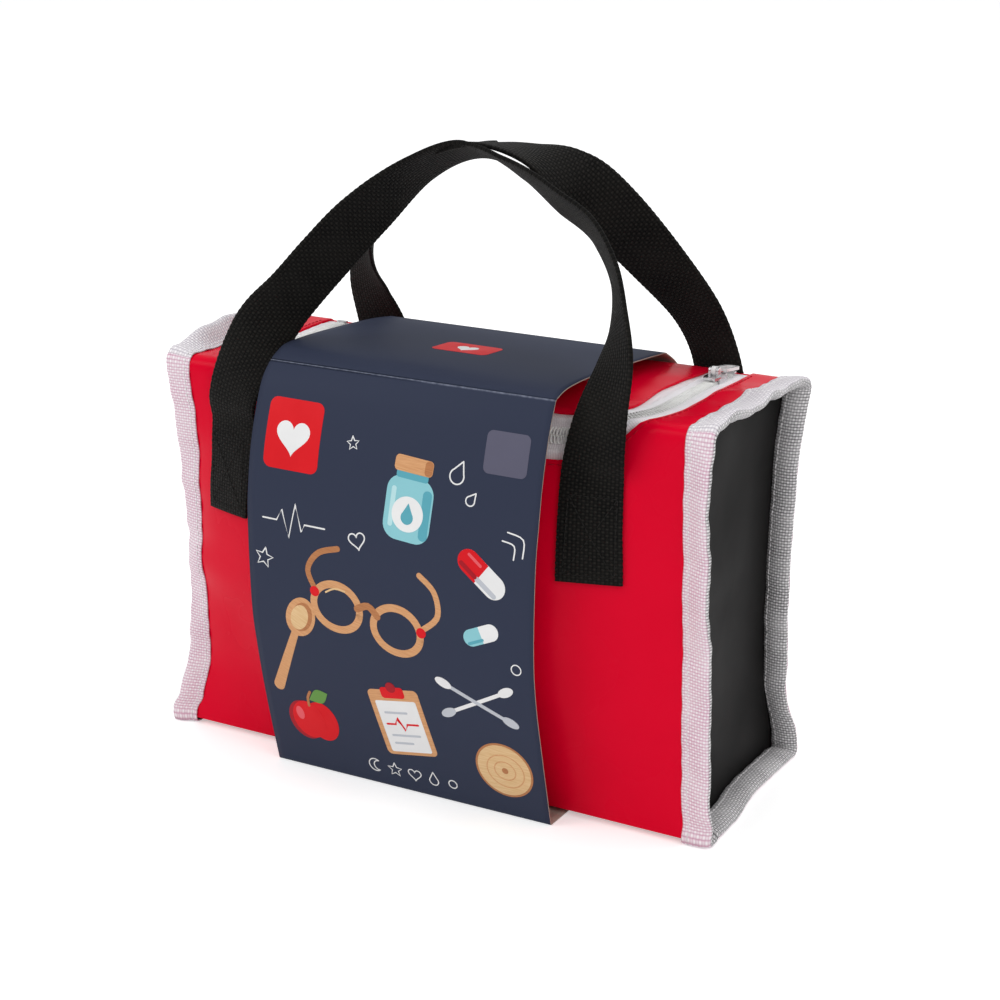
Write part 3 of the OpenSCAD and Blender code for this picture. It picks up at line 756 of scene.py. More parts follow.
for name, side in (("endPanelLeft", -1), ("endPanelRight", 1)):
    thing = makeEnd(name, side)
    dress(thing, blackVinyl, "black_vinyl", "end_panel_left" if side < 0 else "end_panel_right")
print("end panels made")

# bindings: ribbed tape folded over each end seam
binding = {"wall": 0.45, "steps": 380}
seams = {}  # the rows of thread on each binding


def makeBinding(name, side):
    # the tape's path across the seam: distance out from the seam, and how far it lies over the vinyl
    outward = [(-0.4, 0.5), (0.6, 0.75), (2.2, 0.55), (4.5, 0.85), (7, 0.95), (9.2, 0.85), (10.8, 0.6)]
    tip = [(11.7, 0.05), (12.1, -0.7), (12.15, -1.5), (11.8, -2.3), (11.0, -2.9)]
    inward = [(9.6, -3.7), (7.4, -4.3), (5, -4.4), (2.8, -3.9), (1.2, -3.2), (0.2, -2.75)]
    line = outward + tip + inward
    far = [0.0]
    for (a, b), (c, d) in zip(line, line[1:]):
        far.append(far[-1] + math.hypot(c - a, d - b))
    ss = spread(0, loopLength, binding["steps"])

    def point(k, s, more=0.0):
        t, off = line[k]
        pucker = 0.18 * math.sin(s * 0.62 + 3 * noise.noise(Vector((s * 0.03, side, 0)))) + \
            0.35 * noise.noise(Vector((s * 0.11, side * 3.0, k * 0.12)))
        out = off + (pucker + more) * (1 if off > -0.7 else -1)
        wander = 0.25 * noise.noise(Vector((s * 0.07, 5.0 * side, 1.0)))
        return skin(side * (halfWidth + t + wander), s, out)

    keys = list(range(len(line)))
    thing = gridObject(name, point, keys, ss, lambda k, s: (far[k], s), closed=loopLength)
    faceOut(thing, highestFace, Vector((0, 0, 1)))
    thicken(thing, binding["wall"])
    seams[name] = [(withOut(lambda s, more, k=k: point(k, s, more)), loopLength) for k in (2, len(line) - 3)]
    return thing


for name, side in (("bindingLeft", -1), ("bindingRight", 1)):
    thing = makeBinding(name, side)
    dress(thing, bindingTape, "binding_tape", "binding_left" if side < 0 else "binding_right")
print("bindings made")

# zip: two tapes and two coils of nylon, on one line that runs round the lid
zipLine = {"tuck": 12.0, "seamOut": 10.9, "clothTop": -1.25, "cloth": 0.6, "ridge": 1.3, "coilMiddle": -0.62,
           "coilHigh": 0.62, "coilWide": 1.7, "coilOut": 1.3, "wire": 0.33, "pitch": 1.5}
zipCornerLength = math.pi * wrap["cornerRadius"] / 2
zipHalf = wrap["cornerX"] + zipCornerLength + zipEnd - cornerS


def zipAt(d):
    # x, s and the outward way in x and s, at the distance d from the middle of the zip
    side, q = (-1 if d < 0 else 1), abs(d)
    if q <= wrap["cornerX"]:
        x, s, outX, outS = q, -wrap["drop"], 0.0, -1.0
    elif q <= wrap["cornerX"] + zipCornerLength:
        a = (q - wrap["cornerX"]) / wrap["cornerRadius"] - math.pi / 2
        outX, outS = math.cos(a), math.sin(a)
        x, s = wrap["cornerX"] + wrap["cornerRadius"] * outX, cornerS + wrap["cornerRadius"] * outS
    else:
        x, s, outX, outS = wrap["zipX"], cornerS + q - wrap["cornerX"] - zipCornerLength, 1.0, 0.0
    return side * x, s, side * outX, outS


def zipSkin(d, out, off):
    x, s, outX, outS = zipAt(d)
    return skin(x + out * outX, s + out * outS, off)


def makeZipCloth(name, side):
    widths = [0.25, 1.4, 2.6, 3.4, 4.2, 5, 5.8, 6.6, 7.4, 8.2, 9.0, 10.2, 11.6, 13.0]
    if side < 0:
        widths += [15, 17]
    reach = zipHalf + zipLine["tuck"]
    ds = spread(-reach, reach, 270) + [reach]

    def point(w, d):
        # the ridge along the cloth runs out before the end that is tucked under the vinyl
        free = min(1.0, max(0.0, (zipHalf + 1.0 - abs(d)) / 4.0))
        fold = 5.9 + 0.7 * noise.noise(Vector((d * 0.035, side * 2.0, 0)))
        rise = math.exp(-((w - fold) / 1.6) ** 2) + 0.4 * math.exp(-((w - fold + 3) / 0.8) ** 2)
        pucker = 0.16 * math.sin(d * 0.9 + side) * math.exp(-((w - 7) / 2.5) ** 2)
        return zipSkin(d, side * w, zipLine["clothTop"] + free * (zipLine["ridge"] * rise + pucker))

    thing = gridObject(name, point, widths, ds, lambda w, d: (w, d))
    faceOut(thing, highestFace, Vector((0, 0, 1)))
    return thicken(thing, zipLine["cloth"])


def makeCoil(name, side):
    turns = int(2 * zipHalf / zipLine["pitch"]) - 1
    steps = 10
    path = []
    for i in range(turns * steps + 1):
        phase = i / steps + (0.5 if side > 0 else 0.0)
        d = -zipHalf + (phase + 0.3) * zipLine["pitch"]
        a = 2 * math.pi * i / steps
        out = side * (zipLine["coilOut"] - zipLine["coilWide"] * math.cos(a))
        path.append(zipSkin(max(-zipHalf, min(zipHalf, d)), out,
                            zipLine["coilMiddle"] + zipLine["coilHigh"] * math.sin(a)))
    return tubeObject(name, [path], zipLine["wire"])


for name, side, cloth, row in (("Outer", 1, "zip_tape_outer", "zip_teeth_outer"),
                               ("Inner", -1, "zip_tape_inner", "zip_teeth_inner")):
    thing = makeZipCloth("zipCloth" + name, side)
    dress(thing, zipCloth, "zip_tape", cloth)
    dress(makeCoil("zipCoil" + name, side), coilPlastic, "zip_coil", row)


def finishNode(name, material):
    # a CAD node that keeps its shape
    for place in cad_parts[name].material_slots:
        place.material = material


for name, rows in seams.items():
    stitches(name + "Thread", rows, 3.0, whiteThread, "binding_tape")
wrapSeam = withOut(lambda l, more: zipSkin(l - zipHalf, zipLine["seamOut"], 0.02 + more))
stitches("zipThread", [(wrapSeam, 2 * zipHalf)], 3.0, redThread, "red_vinyl", radius=0.17)
finishNode("zip_stops", platedMetal)
finishNode("zip_slider", platedMetal)
finishNode("zip_pull", whiteEnamel)
print("zip made")

# handles: one strap of webbing each, sewn flat on the vinyl at both ends between the heights low and leave,
# and free of it above the height over
strap = {"wide": 27.0, "thick": 1.8, "low": 109.5, "leave": 150.0, "over": 160.0, "lies": 0.3,
         "selvedge": 0.7, "step": 0.65, "pitch": 1.3, "notch": 0.1, "cup": 0.6, "boxIn": 3.2}
# the line gives x, height and how far the strap has turned over, from its left end to its right end
straps = {
    "front": {"side": -1, "middle": -2.0, "bow": 29.0, "tilt": 21.0, "phase": 0.0, "lowX": (-98.0, 85.5),
              "leaveX": (-95.5, 84.0),
              "line": [(-92.5, 167, 4), (-84.5, 185, 24), (-77, 198.5, 46), (-68, 210, 59), (-57, 224.5, 61),
                       (-43, 242, 66), (-24, 261, 88), (-3, 269.5, 92), (20, 264, 74), (43, 254.5, 60),
                       (64, 244.5, 61), (78.5, 230, 62), (86, 213, 55), (88.5, 196, 37), (86.4, 176, 20)]},
    "back": {"side": 1, "middle": -1.5, "bow": 29.5, "tilt": 6.0, "phase": 4.0, "lowX": (-83.6, 90.5),
             "leaveX": (-83.6, 90.5),
             "line": [(-84, 171, 4), (-87, 193, 22), (-82, 212, 45), (-67, 232, 62), (-45, 252, 74),
                      (-20, 266, 77), (4, 272.2, 75), (25, 269.5, 67), (40.5, 260, 56), (54, 243.5, 38),
                      (69, 222, 20), (82, 202, 4), (88.6, 184, -6), (91, 167, -6)]},
}


def through(points, t):
    # smooth curve through a list of points, t from 0 to 1 over equal spans
    spans = len(points) - 1
    i = min(int(t * spans), spans - 1)
    f = t * spans - i
    a, b, c, d = (points[max(0, min(spans, i + k))] for k in (-1, 0, 1, 2))
    cubic = (2 * a - 5 * b + 4 * c - d) * f * f + (3 * b - a - 3 * c + d) * f ** 3
    return 0.5 * ((2 * b) + (c - a) * f + cubic)


def strapSection(l):
    # outline of the webbing across its width, with rounded selvedges that bulge at each weft thread
    half, thin = strap["wide"] / 2, strap["thick"] / 2
    notch = strap["notch"] * math.sin(math.pi * l / strap["pitch"])
    flat = half - strap["selvedge"]
    across = [-flat + flat * i / 4 for i in range(9)]
    turn = ((0.72, 0.62), (1.0, 0.0), (0.72, -0.62))
    edge = [(flat + strap["selvedge"] * a + notch, thin * b) for a, b in turn]
    return ([(u, thin) for u in across] + edge + [(u, -thin) for u in reversed(across)] +
            [(-u, -v) for u, v in edge])


def sewnPoint(side, x, z, v):
    # on the vinyl at the height z, and v towards the case from the middle of the webbing
    down = arcLength / 2 + topZ - edgeRadius - z
    return skin(x, -down if side < 0 else backEdge + down, strap["lies"] + strap["thick"] / 2 - v)


def strapLine(setting):
    # stations along the free part: place of the middle and turn, at even steps
    side, leave = setting["side"], strap["leave"]
    top = max(z for x, z, turn in setting["line"])
    starts = [sewnPoint(side, x, leave, 0).y for x in setting["leaveX"]]
    first, last = (Vector((x, leave, 0)) for x in setting["leaveX"])
    points = [first] + [Vector(p) for p in setting["line"]] + [last]
    fine = []
    for i in range(1601):
        x, z, turn = through(points, i / 1600)
        h = max(0.0, (z - leave) / (top - leave))
        start = starts[0] + (starts[1] - starts[0]) * i / 1600
        out = side * setting["bow"]
        fine.append((Vector((x, start + out * h + (setting["middle"] - start - out) * h ** 1.5, z)), turn))
    far = [0.0]
    for (a, _), (b, _) in zip(fine, fine[1:]):
        far.append(far[-1] + (b - a).length)
    count = int(far[-1] / strap["step"])
    stations, k = [], 0
    for i in range(count + 1):
        l = far[-1] * i / count
        while k < len(far) - 2 and far[k + 1] < l:
            k += 1
        f = min(1.0, (l - far[k]) / max(far[k + 1] - far[k], 1e-6))
        (p, turn), (nextP, nextTurn) = fine[k], fine[k + 1]
        stations.append((l, p.lerp(nextP, f), turn + (nextTurn - turn) * f))
    return stations


def makeStrap(name, setting):
    side, leave, low = setting["side"], strap["leave"], strap["low"]
    inward = (side, -side)  # the way along x that the section's u runs at each end
    stations = strapLine(setting)
    total = stations[-1][0]
    tilt = math.radians(setting["tilt"])
    over = Vector((0, -math.cos(tilt), math.sin(tilt)))

    def sewnRing(end, z, l):
        x, top = setting["lowX"][end], setting["leaveX"][end]
        x += (top - x) * (z - low) / (leave - low)
        return [sewnPoint(side, x + inward[end] * u, z, v) for u, v in strapSection(l)]

    rings = []
    sewn = int((leave - low) / strap["step"])
    for k in range(sewn):
        z = low + (leave - low) * k / sewn
        rings.append((z - leave, sewnRing(0, z, z - leave)))
    for i, (l, p, turn) in enumerate(stations):
        way = (stations[min(len(stations) - 1, i + 3)][1] - stations[max(0, i - 3)][1]).normalized()
        end = 0 if l < total / 2 else 1
        a, b = (sewnPoint(side, setting["leaveX"][end] + inward[end] * u, leave, 0) for u in (-12, 12))
        raw = (b - a).normalized() * math.cos(math.radians(turn)) + over * math.sin(math.radians(turn))
        across = (raw - way * raw.dot(way)).normalized()
        up = across.cross(way).normalized()
        cup = strap["cup"] * noise.noise(Vector((l * 0.02, setting["phase"], 0.5)))
        ring = [p + across * u + up * (v + cup * u * u / 180) for u, v in strapSection(l)]
        if p.z < strap["over"]:
            w = eased((p.z - leave) / (strap["over"] - leave))
            ring = [a.lerp(b, w) for a, b in zip(sewnRing(end, p.z, l), ring)]
        rings.append((l, ring))
    for k in range(1, sewn + 1):
        z = leave - (leave - low) * k / sewn
        rings.append((total + leave - z, sewnRing(1, z, total + leave - z)))
    mesh = bmesh.new()
    layer = mesh.loops.layers.uv.new("UVMap")
    us = [u for u, v in strapSection(0)]
    n = len(us)
    verts = [[mesh.verts.new(p * mm) for p in ring] for l, ring in rings]
    for j in range(len(rings) - 1):
        for k in range(n):
            m = (k + 1) % n
            face = mesh.faces.new((verts[j][k], verts[j][m], verts[j + 1][m], verts[j + 1][k]))
            face.smooth = True
            for loop, (a, b) in zip(face.loops, ((k, j), (m, j), (m, j + 1), (k, j + 1))):
                loop[layer].uv = (us[a], rings[b][0])
    mesh.faces.new(verts[0])
    mesh.faces.new(verts[-1])
    bmesh.ops.recalc_face_normals(mesh, faces=mesh.faces)
    return meshThing(name, mesh)


for which in ("front", "back"):
    thing = makeStrap(which + "Strap", straps[which])
    dress(thing, blackWebbing, "webbing", which + "_strap_ends", which + "_handle", body=None)
    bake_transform(thing)


def boxRows(setting):
    # the box and the cross that hold each sewn end
    rows = []
    for x in setting["lowX"]:
        half = strap["wide"] / 2 - strap["boxIn"]
        low, high = strap["low"] + strap["boxIn"], strap["leave"] - 5
        corners = [Vector(c) for c in ((x - half, low), (x + half, low), (x + half, high), (x - half, high))]
        for i, j in ((0, 1), (1, 2), (2, 3), (3, 0), (0, 2), (1, 3)):
            a, b = corners[i], corners[j]

            def point(l, more, a=a, b=b):
                p = a + (b - a) * l / (b - a).length
                return sewnPoint(setting["side"], p.x, p.y, -strap["thick"] / 2 - more)

            rows.append((withOut(point), (b - a).length))
    return rows


for which in ("front", "back"):
    stitches(which + "StrapThread", boxRows(straps[which]), 2.9, blackThread, "webbing")
print("straps made")

# card sleeve: one strip of printed card, creased four times and closed under the case
sleeve = {"left": -67.0, "right": 71.0, "card": 0.5, "crease": 0.7, "ripple": 0.5, "columns": 46}
# y and z of the card at its left and its right edge: down the front, under, up the back and over the top
sleevePanels = {
    "front": ([(-61.8, 183.7), (-69.4, 175), (-77.1, 154.5), (-80.9, 136), (-82.6, 117.8), (-82.2, 81.2),
               (-79.5, 60), (-74, 32), (-66.4, 0.3)],
              [(-62.9, 184), (-68.8, 170), (-73.6, 153), (-76.8, 136), (-79.6, 117), (-80.8, 83),
               (-78.6, 60), (-72.5, 32), (-65, 0.3)]),
    "under": ([(-66.4, 0.3), (-20, 0.3), (20, 0.3), (57, 0.3)],
              [(-65, 0.3), (-20, 0.3), (20, 0.3), (58, 0.3)]),
    "back": ([(57, 0.3), (65, 30), (69, 62), (69.3, 92), (65.5, 128), (58, 156), (51.6, 172.8),
              (33.6, 183.6)],
             [(58, 0.3), (66, 30), (69.8, 62), (70, 92), (66.5, 128), (59, 156), (51.8, 172.6),
              (38.2, 181.6)]),
    "top": ([(33.6, 183.6), (20, 185.4), (6, 186.5), (-14, 187.6), (-34, 188.4), (-50, 188.2),
             (-56.5, 186.4), (-61.8, 183.7)],
            [(38.2, 181.6), (22, 183), (6, 184.2), (-14, 185.6), (-34, 186.7), (-48, 186.8),
             (-56.5, 186), (-62.9, 184)]),
}
sleeveSteps = {"front": 88, "under": 8, "back": 50, "top": 44}
sleeveCache = {}


def sleeveRing(x):
    # the card's middle line at x: points, and their distances down the front from the top front crease
    key = round(x, 2)
    if key in sleeveCache:
        return sleeveCache[key]
    t = (key - sleeve["left"]) / (sleeve["right"] - sleeve["left"])
    flat, corners = [], []
    for panel, (left, right) in sleevePanels.items():
        corners.append(len(flat))
        points = [Vector(a).lerp(Vector(b), t) for a, b in zip(left, right)]
        steps = sleeveSteps[panel]
        ripple = sleeve["ripple"] * noise.noise(Vector((key * 0.025, len(panel) * 1.7, 0.3)))
        for i in range(steps):
            moved = ripple * math.sin(math.pi * i / steps)
            flat.append(through(points, i / steps) + Vector((0, moved) if panel == "top" else (moved, 0)))
    ring = []
    for i, p in enumerate(flat):
        if i in corners:
            a, b = flat[i - 1], flat[(i + 1) % len(flat)]
            toA, toB = (a - p).normalized() * sleeve["crease"], (b - p).normalized() * sleeve["crease"]
            ring += [p + toA, p + (toA + toB) * 0.28, p + toB]
        else:
            ring.append(p)
    ring = ring[1:] + ring[:1]
    far = [0.0]
    for a, b in zip(ring, ring[1:] + ring[:1]):
        far.append(far[-1] + (b - a).length)
    sleeveCache[key] = (ring, far)
    return sleeveCache[key]


def sleevePoint(x, v, off):
    # on the sleeve at x and v, and off over its middle; v runs down the front from the top front crease,
    # and is less than 0 on the top
    ring, far = sleeveRing(x)
    u = v % far[-1]
    i = max(0, min(len(ring) - 1, bisect.bisect_right(far, u) - 1))
    p = ring[i].lerp(ring[(i + 1) % len(ring)], (u - far[i]) / max(far[i + 1] - far[i], 1e-6))
    way = (ring[(i + 2) % len(ring)] - ring[i - 1]).normalized()
    return Vector((x, p.x + way.y * off, p.y - way.x * off))


def makeSleeve():
    count = len(sleeveRing(0)[0])
    xs = spread(sleeve["left"], sleeve["right"], sleeve["columns"]) + [sleeve["right"]]

    def placed(x, j):
        p = sleeveRing(x)[0][j]
        return Vector((x, p.x, p.y))

    def flatPlace(x, j):
        # the top panel, which comes last, has its v below 0
        far = sleeveRing(x)[1]
        return (x, far[j] if far[j] < 450 else far[j] - far[-1])

    thing = gridObject("cardSleeve", placed, xs, list(range(count)), flatPlace, closed=count)
    faceOut(thing, lambda mesh: min(mesh.faces, key=lambda f: f.calc_center_median().y), Vector((0, -1, 0)))
    thing.data.materials.append(slateCard)
    thing.data.materials.append(bareCard)
    wall = thing.modifiers.new("wall", "SOLIDIFY")
    wall.thickness = sleeve["card"] * mm
    wall.offset = 0
    wall.material_offset = 1
    wall.material_offset_rim = 1
    applyModifiers(thing)
    return thing


cardSleeve = makeSleeve()
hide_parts("card_sleeve")
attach(cardSleeve, "card_sleeve")
print("sleeve made")

# print on the sleeve: thin layers of ink that follow the card; step is a layer's height over the one below,
# clear is how far they lie over the card, and each picture is cut at every row and column to bend with it
printing = {"step": 0.035, "clear": 0.05, "row": 2.1, "column": 12.0}


def ink(name, *screen):
    return makePlain(name, linear(*screen), 0.5, wear=0.95, shine=0.2)


def makeWood(name, light, dark, across):
    # fine straight grain along the pattern's u, with slow bands
    material, tree, shader = newMaterial(name)
    split = addNode(tree, "ShaderNodeSeparateXYZ", Vector=tree.nodes.new("ShaderNodeUVMap").outputs["UV"])
    stretched = addNode(tree, "ShaderNodeCombineXYZ", X=mathNode(tree, "MULTIPLY", split.outputs[0], 0.12),
                        Y=mathNode(tree, "MULTIPLY", split.outputs[1], across))
    streaks = addNode(tree, "ShaderNodeTexNoise", Vector=stretched.outputs[0], Scale=1.0, Detail=4.0)
    tone = ramped(tree, streaks.outputs["Fac"], 0.0, 1.0, 0.35, 0.65)
    setInputs(tree, shader, Base_Color=mixColour(tree, tone, light, dark), Roughness=0.5,
              Specular_IOR_Level=0.25)
    bumpFrom(tree, shader, streaks.outputs["Fac"], 0.1, 0.02)
    return material


inks = {
    "red": ink("inkRed", 222, 12, 26), "deepRed": ink("inkDeepRed", 168, 14, 32),
    "pink": ink("inkPink", 236, 96, 104), "white": ink("inkWhite", 240, 240, 240),
    "shade": ink("inkShade", 196, 200, 208), "lilac": ink("inkLilac", 92, 91, 110),
    "sky": ink("inkSky", 143, 205, 214), "deepSky": ink("inkDeepSky", 92, 170, 186),
    "paleSky": ink("inkPaleSky", 190, 230, 234), "leaf": ink("inkLeaf", 104, 152, 74),
    "wood": makeWood("inkWood", linear(222, 168, 120), linear(205, 146, 98), 2.2),
    "darkWood": makeWood("inkDarkWood", linear(190, 128, 82), linear(172, 112, 70), 2.2),
    "paleWood": makeWood("inkPaleWood", linear(232, 198, 150), linear(220, 180, 128), 1.6),
}


def disc(x, v, rx, ry=None, start=0.0, end=360.0, count=40):
    ry = rx if ry is None else ry
    full = abs(end - start - 360) < 1e-6
    n = count if full else count + 1
    return [(x + rx * math.cos(a), v + ry * math.sin(a))
            for a in (math.radians(start + (end - start) * i / count) for i in range(n))]


def rounded(x, v, w, h, r):
    out = []
    for cx, cv, first in ((w / 2 - r, h / 2 - r, 0), (r - w / 2, h / 2 - r, 90),
                          (r - w / 2, r - h / 2, 180), (w / 2 - r, r - h / 2, 270)):
        out += disc(x + cx, v + cv, r, r, first, first + 90, 7)
    return out


def stroke(points, width, taper=None):
    # a line with round ends; taper gives the width at its far end
    path = [Vector(p) for p in points]
    n = len(path) - 1
    widths = [width + ((taper if taper is not None else width) - width) * i / n for i in range(n + 1)]
    ways = [(path[min(i + 1, n)] - path[max(i - 1, 0)]).normalized() for i in range(n + 1)]
    sides = [Vector((-w.y, w.x)) for w in ways]
    left = [tuple(p + q * w / 2) for p, q, w in zip(path, sides, widths)]
    right = [tuple(p - q * w / 2) for p, q, w in zip(path, sides, widths)]

    def cap(p, way, w):
        a = math.degrees(math.atan2(way.y, way.x))
        return disc(p.x, p.y, w / 2, w / 2, a + 90, a - 90, 8)[1:-1]

    return left + cap(path[-1], ways[-1], widths[-1]) + right[::-1] + cap(path[0], -ways[0], widths[0])


def curve(points, count=24):
    return [tuple(through([Vector(p) for p in points], i / count)) for i in range(count + 1)]


def heart(x, v, w):
    out = []
    for i in range(44):
        a = 2 * math.pi * i / 44
        high = 13 * math.cos(a) - 5 * math.cos(2 * a) - 2 * math.cos(3 * a) - math.cos(4 * a)
        out.append((x + w / 32 * 16 * math.sin(a) ** 3, v - w / 32 * high))
    return out


def star(x, v, r, inner=0.45):
    return [(x + (r if i % 2 == 0 else r * inner) * math.sin(math.pi * i / 5),
             v - (r if i % 2 == 0 else r * inner) * math.cos(math.pi * i / 5)) for i in range(10)]


def drop(x, v, r):
    return [(x, v - 2.1 * r)] + disc(x, v, r, r, -40, 220, 26)


def turned(points, x, v, degrees):
    c, q = math.cos(math.radians(degrees)), math.sin(math.radians(degrees))
    return [(x + a * c - b * q, v + a * q + b * c) for a, b in points]


def closedLine(outline, width):
    # the line round an outline
    return stroke(outline + [outline[0]], width)


def printOn(name, layers, place, turn):
    # each layer is an outline, an ink, and how high it lies in the stack; they are bent to the card's shape
    colours = []
    total = bmesh.new()
    uvs = total.loops.layers.uv.new("UVMap")
    for outline, colour, level in layers:
        if colour not in colours:
            colours.append(colour)
        piece = bmesh.new()
        pts = turned(outline, place[0], place[1], turn)
        piece.faces.new([piece.verts.new((a, b, 0)) for a, b in pts])
        for axis, way, gap in ((1, Vector((0, 1, 0)), printing["row"]),
                               (0, Vector((1, 0, 0)), printing["column"])):
            cut = (min(p[axis] for p in pts) // gap + 1) * gap
            while cut < max(p[axis] for p in pts):
                whole = piece.verts[:] + piece.edges[:] + piece.faces[:]
                bmesh.ops.bisect_plane(piece, geom=whole, dist=1e-5, plane_co=way * cut, plane_no=way)
                cut += gap
        bmesh.ops.triangulate(piece, faces=piece.faces)
        top = sleeve["card"] / 2 + printing["clear"] + printing["step"] * level
        lower = sleeve["card"] / 2 - 0.05
        piece.verts.ensure_lookup_table()
        piece.verts.index_update()
        flat = [(v.co.x, v.co.y) for v in piece.verts]
        upper = [total.verts.new(sleevePoint(a, b, top) * mm) for a, b in flat]
        under = [total.verts.new(sleevePoint(a, b, lower) * mm) for a, b in flat]

        def add(corners, marks):
            made = total.faces.new(corners)
            made.material_index = colours.index(colour)
            for loop, mark in zip(made.loops, marks):
                loop[uvs].uv = turned([(flat[mark][0] - place[0], flat[mark][1] - place[1])], 0, 0, -turn)[0]

        for face in piece.faces:
            marks = [v.index for v in face.verts]
            add([upper[m] for m in marks], marks)
            add([under[m] for m in reversed(marks)], list(reversed(marks)))
        for edge in piece.edges:
            if edge.is_boundary:
                a, b = (v.index for v in edge.verts)
                add([upper[a], upper[b], under[b], under[a]], [a, b, b, a])
        piece.free()
    bmesh.ops.recalc_face_normals(total, faces=total.faces)
    thing = meshThing(name, total)
    for colour in colours:
        thing.data.materials.append(inks[colour])
    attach(thing, "card_sleeve")


printOn("printLabel", [
    (rounded(0, 0, 27, 30, 3.6), "red", 1), (heart(0, 0.6, 16.5), "white", 2)], (-46.5, 31), 0)
printOn("printTag", [(rounded(0, 0, 19.5, 17.5, 2.6), "lilac", 1)], (54, 24), 0)
printOn("printTopLabel", [(rounded(0, 0, 27, 18, 3), "red", 1), (heart(0, 0.4, 10), "white", 2)], (3, -47), 0)
printOn("printJar", [
    (rounded(0, 3, 22, 27, 6.5), "sky", 1), (rounded(8.2, 4, 4.2, 21, 2), "deepSky", 2),
    (rounded(-7.6, 3, 2.2, 17, 1.05), "paleSky", 2), (rounded(0, -11.2, 15, 3.6, 1.2), "deepSky", 2),
    (rounded(0, -15.4, 18, 6.6, 1.8), "wood", 3), (rounded(7, -15.4, 3.6, 6.2, 1.6), "darkWood", 4),
    (disc(0, 5, 7.4), "white", 3), (drop(0, 6.4, 2.9), "deepSky", 4)], (12, 50), 4)
printOn("printGlasses", [
    (closedLine(disc(-15, 0, 11.5, 10), 3.4), "wood", 1), (closedLine(disc(15, 0, 11.5, 10), 3.4), "wood", 1),
    (stroke(curve([(-5, -3), (0, -6), (5, -3)], 8), 3.2), "darkWood", 2),
    (stroke(curve([(-26, -4), (-31, -12), (-27, -21), (-18, -26)], 16), 2.6), "darkWood", 1),
    (stroke(curve([(26, -4), (33, -13), (30, -23), (22, -28)], 16), 2.6), "wood", 1),
    (disc(-26.5, -3.4, 2.3), "red", 2), (disc(26.5, -3.4, 2.3), "red", 2),
    (stroke(curve([(-21, -5), (-17, -8), (-12, -8.4)], 6), 0.8), "paleWood", 3)], (-8, 104), 9)
printOn("printSpoon", [
    (stroke([(0, -6), (0, 28)], 3.4, 5.4), "wood", 1), (disc(0, -13, 7.2, 9.6), "wood", 2),
    (disc(0.6, -13.4, 5, 7.2), "darkWood", 3), (disc(-0.4, -12.6, 4.2, 6.2), "paleWood", 4)], (-47, 122), 24)
printOn("printCapsule", [
    (rounded(0, 0, 25, 10.4, 5.2), "white", 1),
    (disc(-7.3, 0, 5.2, 5.2, 90, 270, 20) + [(0, -5.2), (0, 5.2)], "red", 2),
    (rounded(4.8, 3, 12, 2.2, 1.1), "shade", 2), (rounded(-5.4, 3, 10, 2, 1), "deepRed", 3),
    (rounded(-5.8, -2.4, 8, 1.3, 0.65), "pink", 3)], (47, 74), 38)
printOn("printPill", [
    (rounded(0, 0, 17, 7.4, 3.7), "sky", 1),
    (disc(4.8, 0, 3.7, 3.7, -90, 90, 16) + [(0, 3.7), (0, -3.7)], "white", 2),
    (rounded(-3.4, 2.1, 8, 1.3, 0.6), "deepSky", 2)], (47, 100), -24)
printOn("printApple", [
    (disc(-4.4, 0, 8.6, 10), "deepRed", 1), (disc(4.6, 0, 8.2, 10), "red", 2),
    (disc(-2.4, -0.4, 8.4, 9.6), "red", 3), (disc(-6.2, -3.6, 2, 3.4), "pink", 4),
    (stroke(curve([(0, -8), (0.6, -12), (2.6, -15)], 6), 1.3), "darkWood", 4),
    (curve([(1, -11), (6, -16.5), (12, -15)], 10) + curve([(12, -15), (8, -9.8), (1, -11)], 10)[1:-1],
     "leaf", 3)], (-43, 163), -8)
printOn("printBoard", [
    (rounded(0, 0, 26, 33, 2.4), "wood", 1), (rounded(0, 2, 21, 26, 1), "white", 2),
    (rounded(0, -15, 12, 5.4, 1.6), "red", 3), (disc(0, -17.6, 2.5), "deepRed", 4),
    (stroke([(-7, -5), (4, -5)], 1.1), "shade", 3), (stroke([(-7, 6.5), (7, 6.5)], 1.1), "shade", 3),
    (stroke([(-7, 10.5), (2, 10.5)], 1.1), "shade", 3),
    (stroke([(-8, 0.8), (-3.6, 0.8), (-1.8, -2.6), (0.6, 4), (2.4, 0.8), (8, 0.8)], 1.0), "red", 3)],
    (4, 152), -11)
swabTips = disc(-16.5, 0, 4, 2.1), disc(16.5, 0, 4, 2.1)
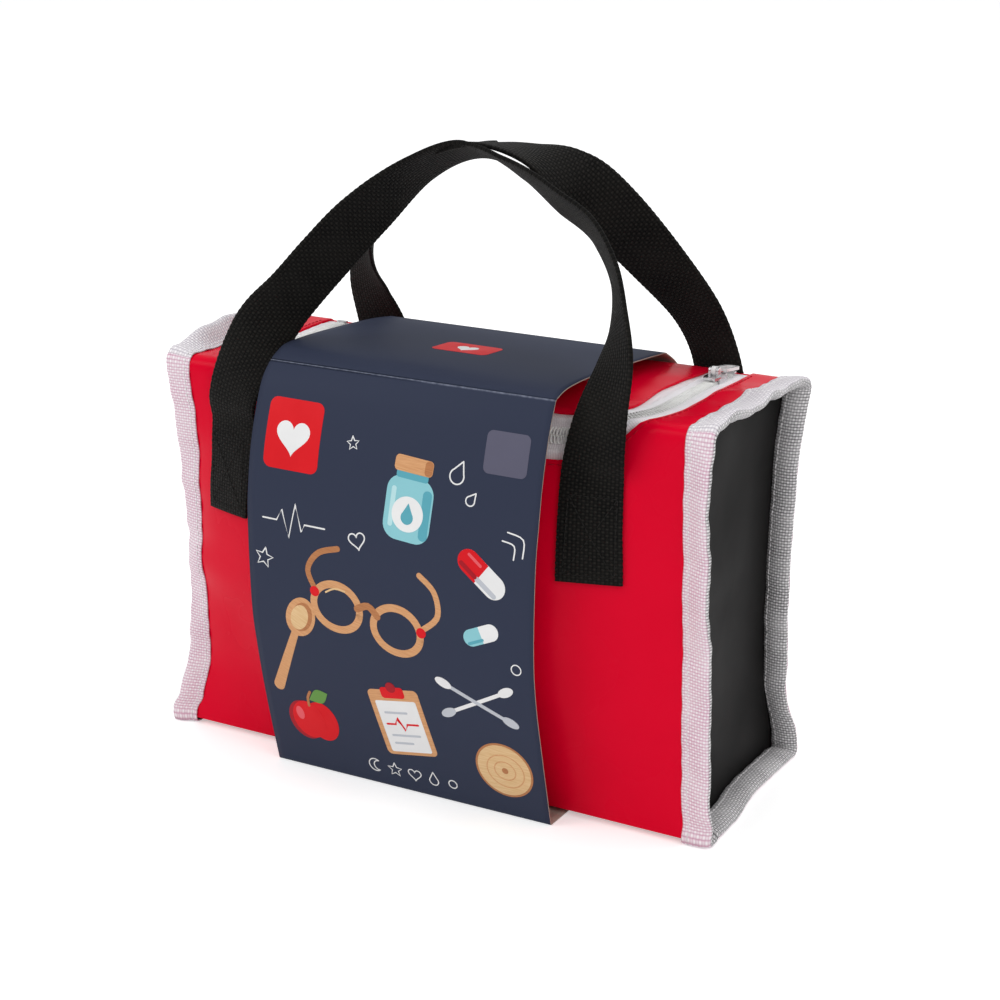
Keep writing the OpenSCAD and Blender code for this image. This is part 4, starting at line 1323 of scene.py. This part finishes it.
printOn("printSwabs", [
    (stroke([(-16, 0), (16, 0)], 1.7), "white", 1), (swabTips[0], "shade", 2), (swabTips[1], "white", 2),
    (stroke(turned([(-16, 0), (16, 0)], 0, 0, 52), 1.7), "shade", 3),
    (turned(swabTips[0], 0, 0, 52), "white", 4), (turned(swabTips[1], 0, 0, 52), "shade", 4)], (43, 132), -30)
printOn("printBadge", [
    (disc(0, 0, 13.6), "darkWood", 1), (disc(0, 0, 12.6), "paleWood", 2),
    (closedLine(disc(0.6, 0.4, 8.8, 8.2), 0.5), "wood", 3),
    (closedLine(disc(0.4, 0.2, 5, 4.6), 0.5), "wood", 3),
    (disc(0.4, 0.2, 1.5), "darkWood", 3)], (52, 164), 0)
moon = disc(0, 0, 3.2, 3.2, 50, 310) + disc(1.8, 0, 2.5, 2.5, 285, 75, 20)[1:-1]
lineIcons = [  # outline, place and turn
    (stroke([(-16, 0), (-9, 0), (-6.4, -5), (-3, 7), (0.4, -8.4), (3.4, 3.4), (5, 0), (15, 0)], 0.7),
     (-43, 68), 0),
    (closedLine(drop(0, 0, 3.2), 0.6), (33, 36), 20),
    (closedLine(drop(0, 0, 2), 0.55), (40, 45), 35),
    (closedLine(star(0, 0, 4.6), 0.6), (-59, 86), 12),
    (closedLine(star(0, 0, 3), 0.5), (-17, 30), -10),
    (stroke(curve([(-4.4, 0), (0, -3.4), (4.4, 0)], 8), 0.6), (58.5, 62), 52),
    (stroke(curve([(-6, 0), (0, -4.4), (6, 0)], 8), 0.6), (61.5, 59.5), 52),
    (closedLine(heart(0, 0, 8), 0.6), (-12, 70), -14),
    (closedLine(disc(0, 0, 2.2), 0.5), (63, 112), 0),
    (closedLine(moon, 0.5), (-14, 179), 0),
    (closedLine(star(0, 0, 3.6), 0.5), (-4, 179), 0),
    (closedLine(heart(0, 0, 6.4), 0.5), (6, 179), 0),
    (closedLine(drop(0, 0.8, 2.2), 0.5), (15.5, 179), 0),
    (closedLine(disc(0, 0, 2), 0.5), (25, 179), 0),
]
for number, (outline, place, turn) in enumerate(lineIcons):
    printOn(f"printLine{number}", [(outline, "white", 1)], place, turn)
print("print made")
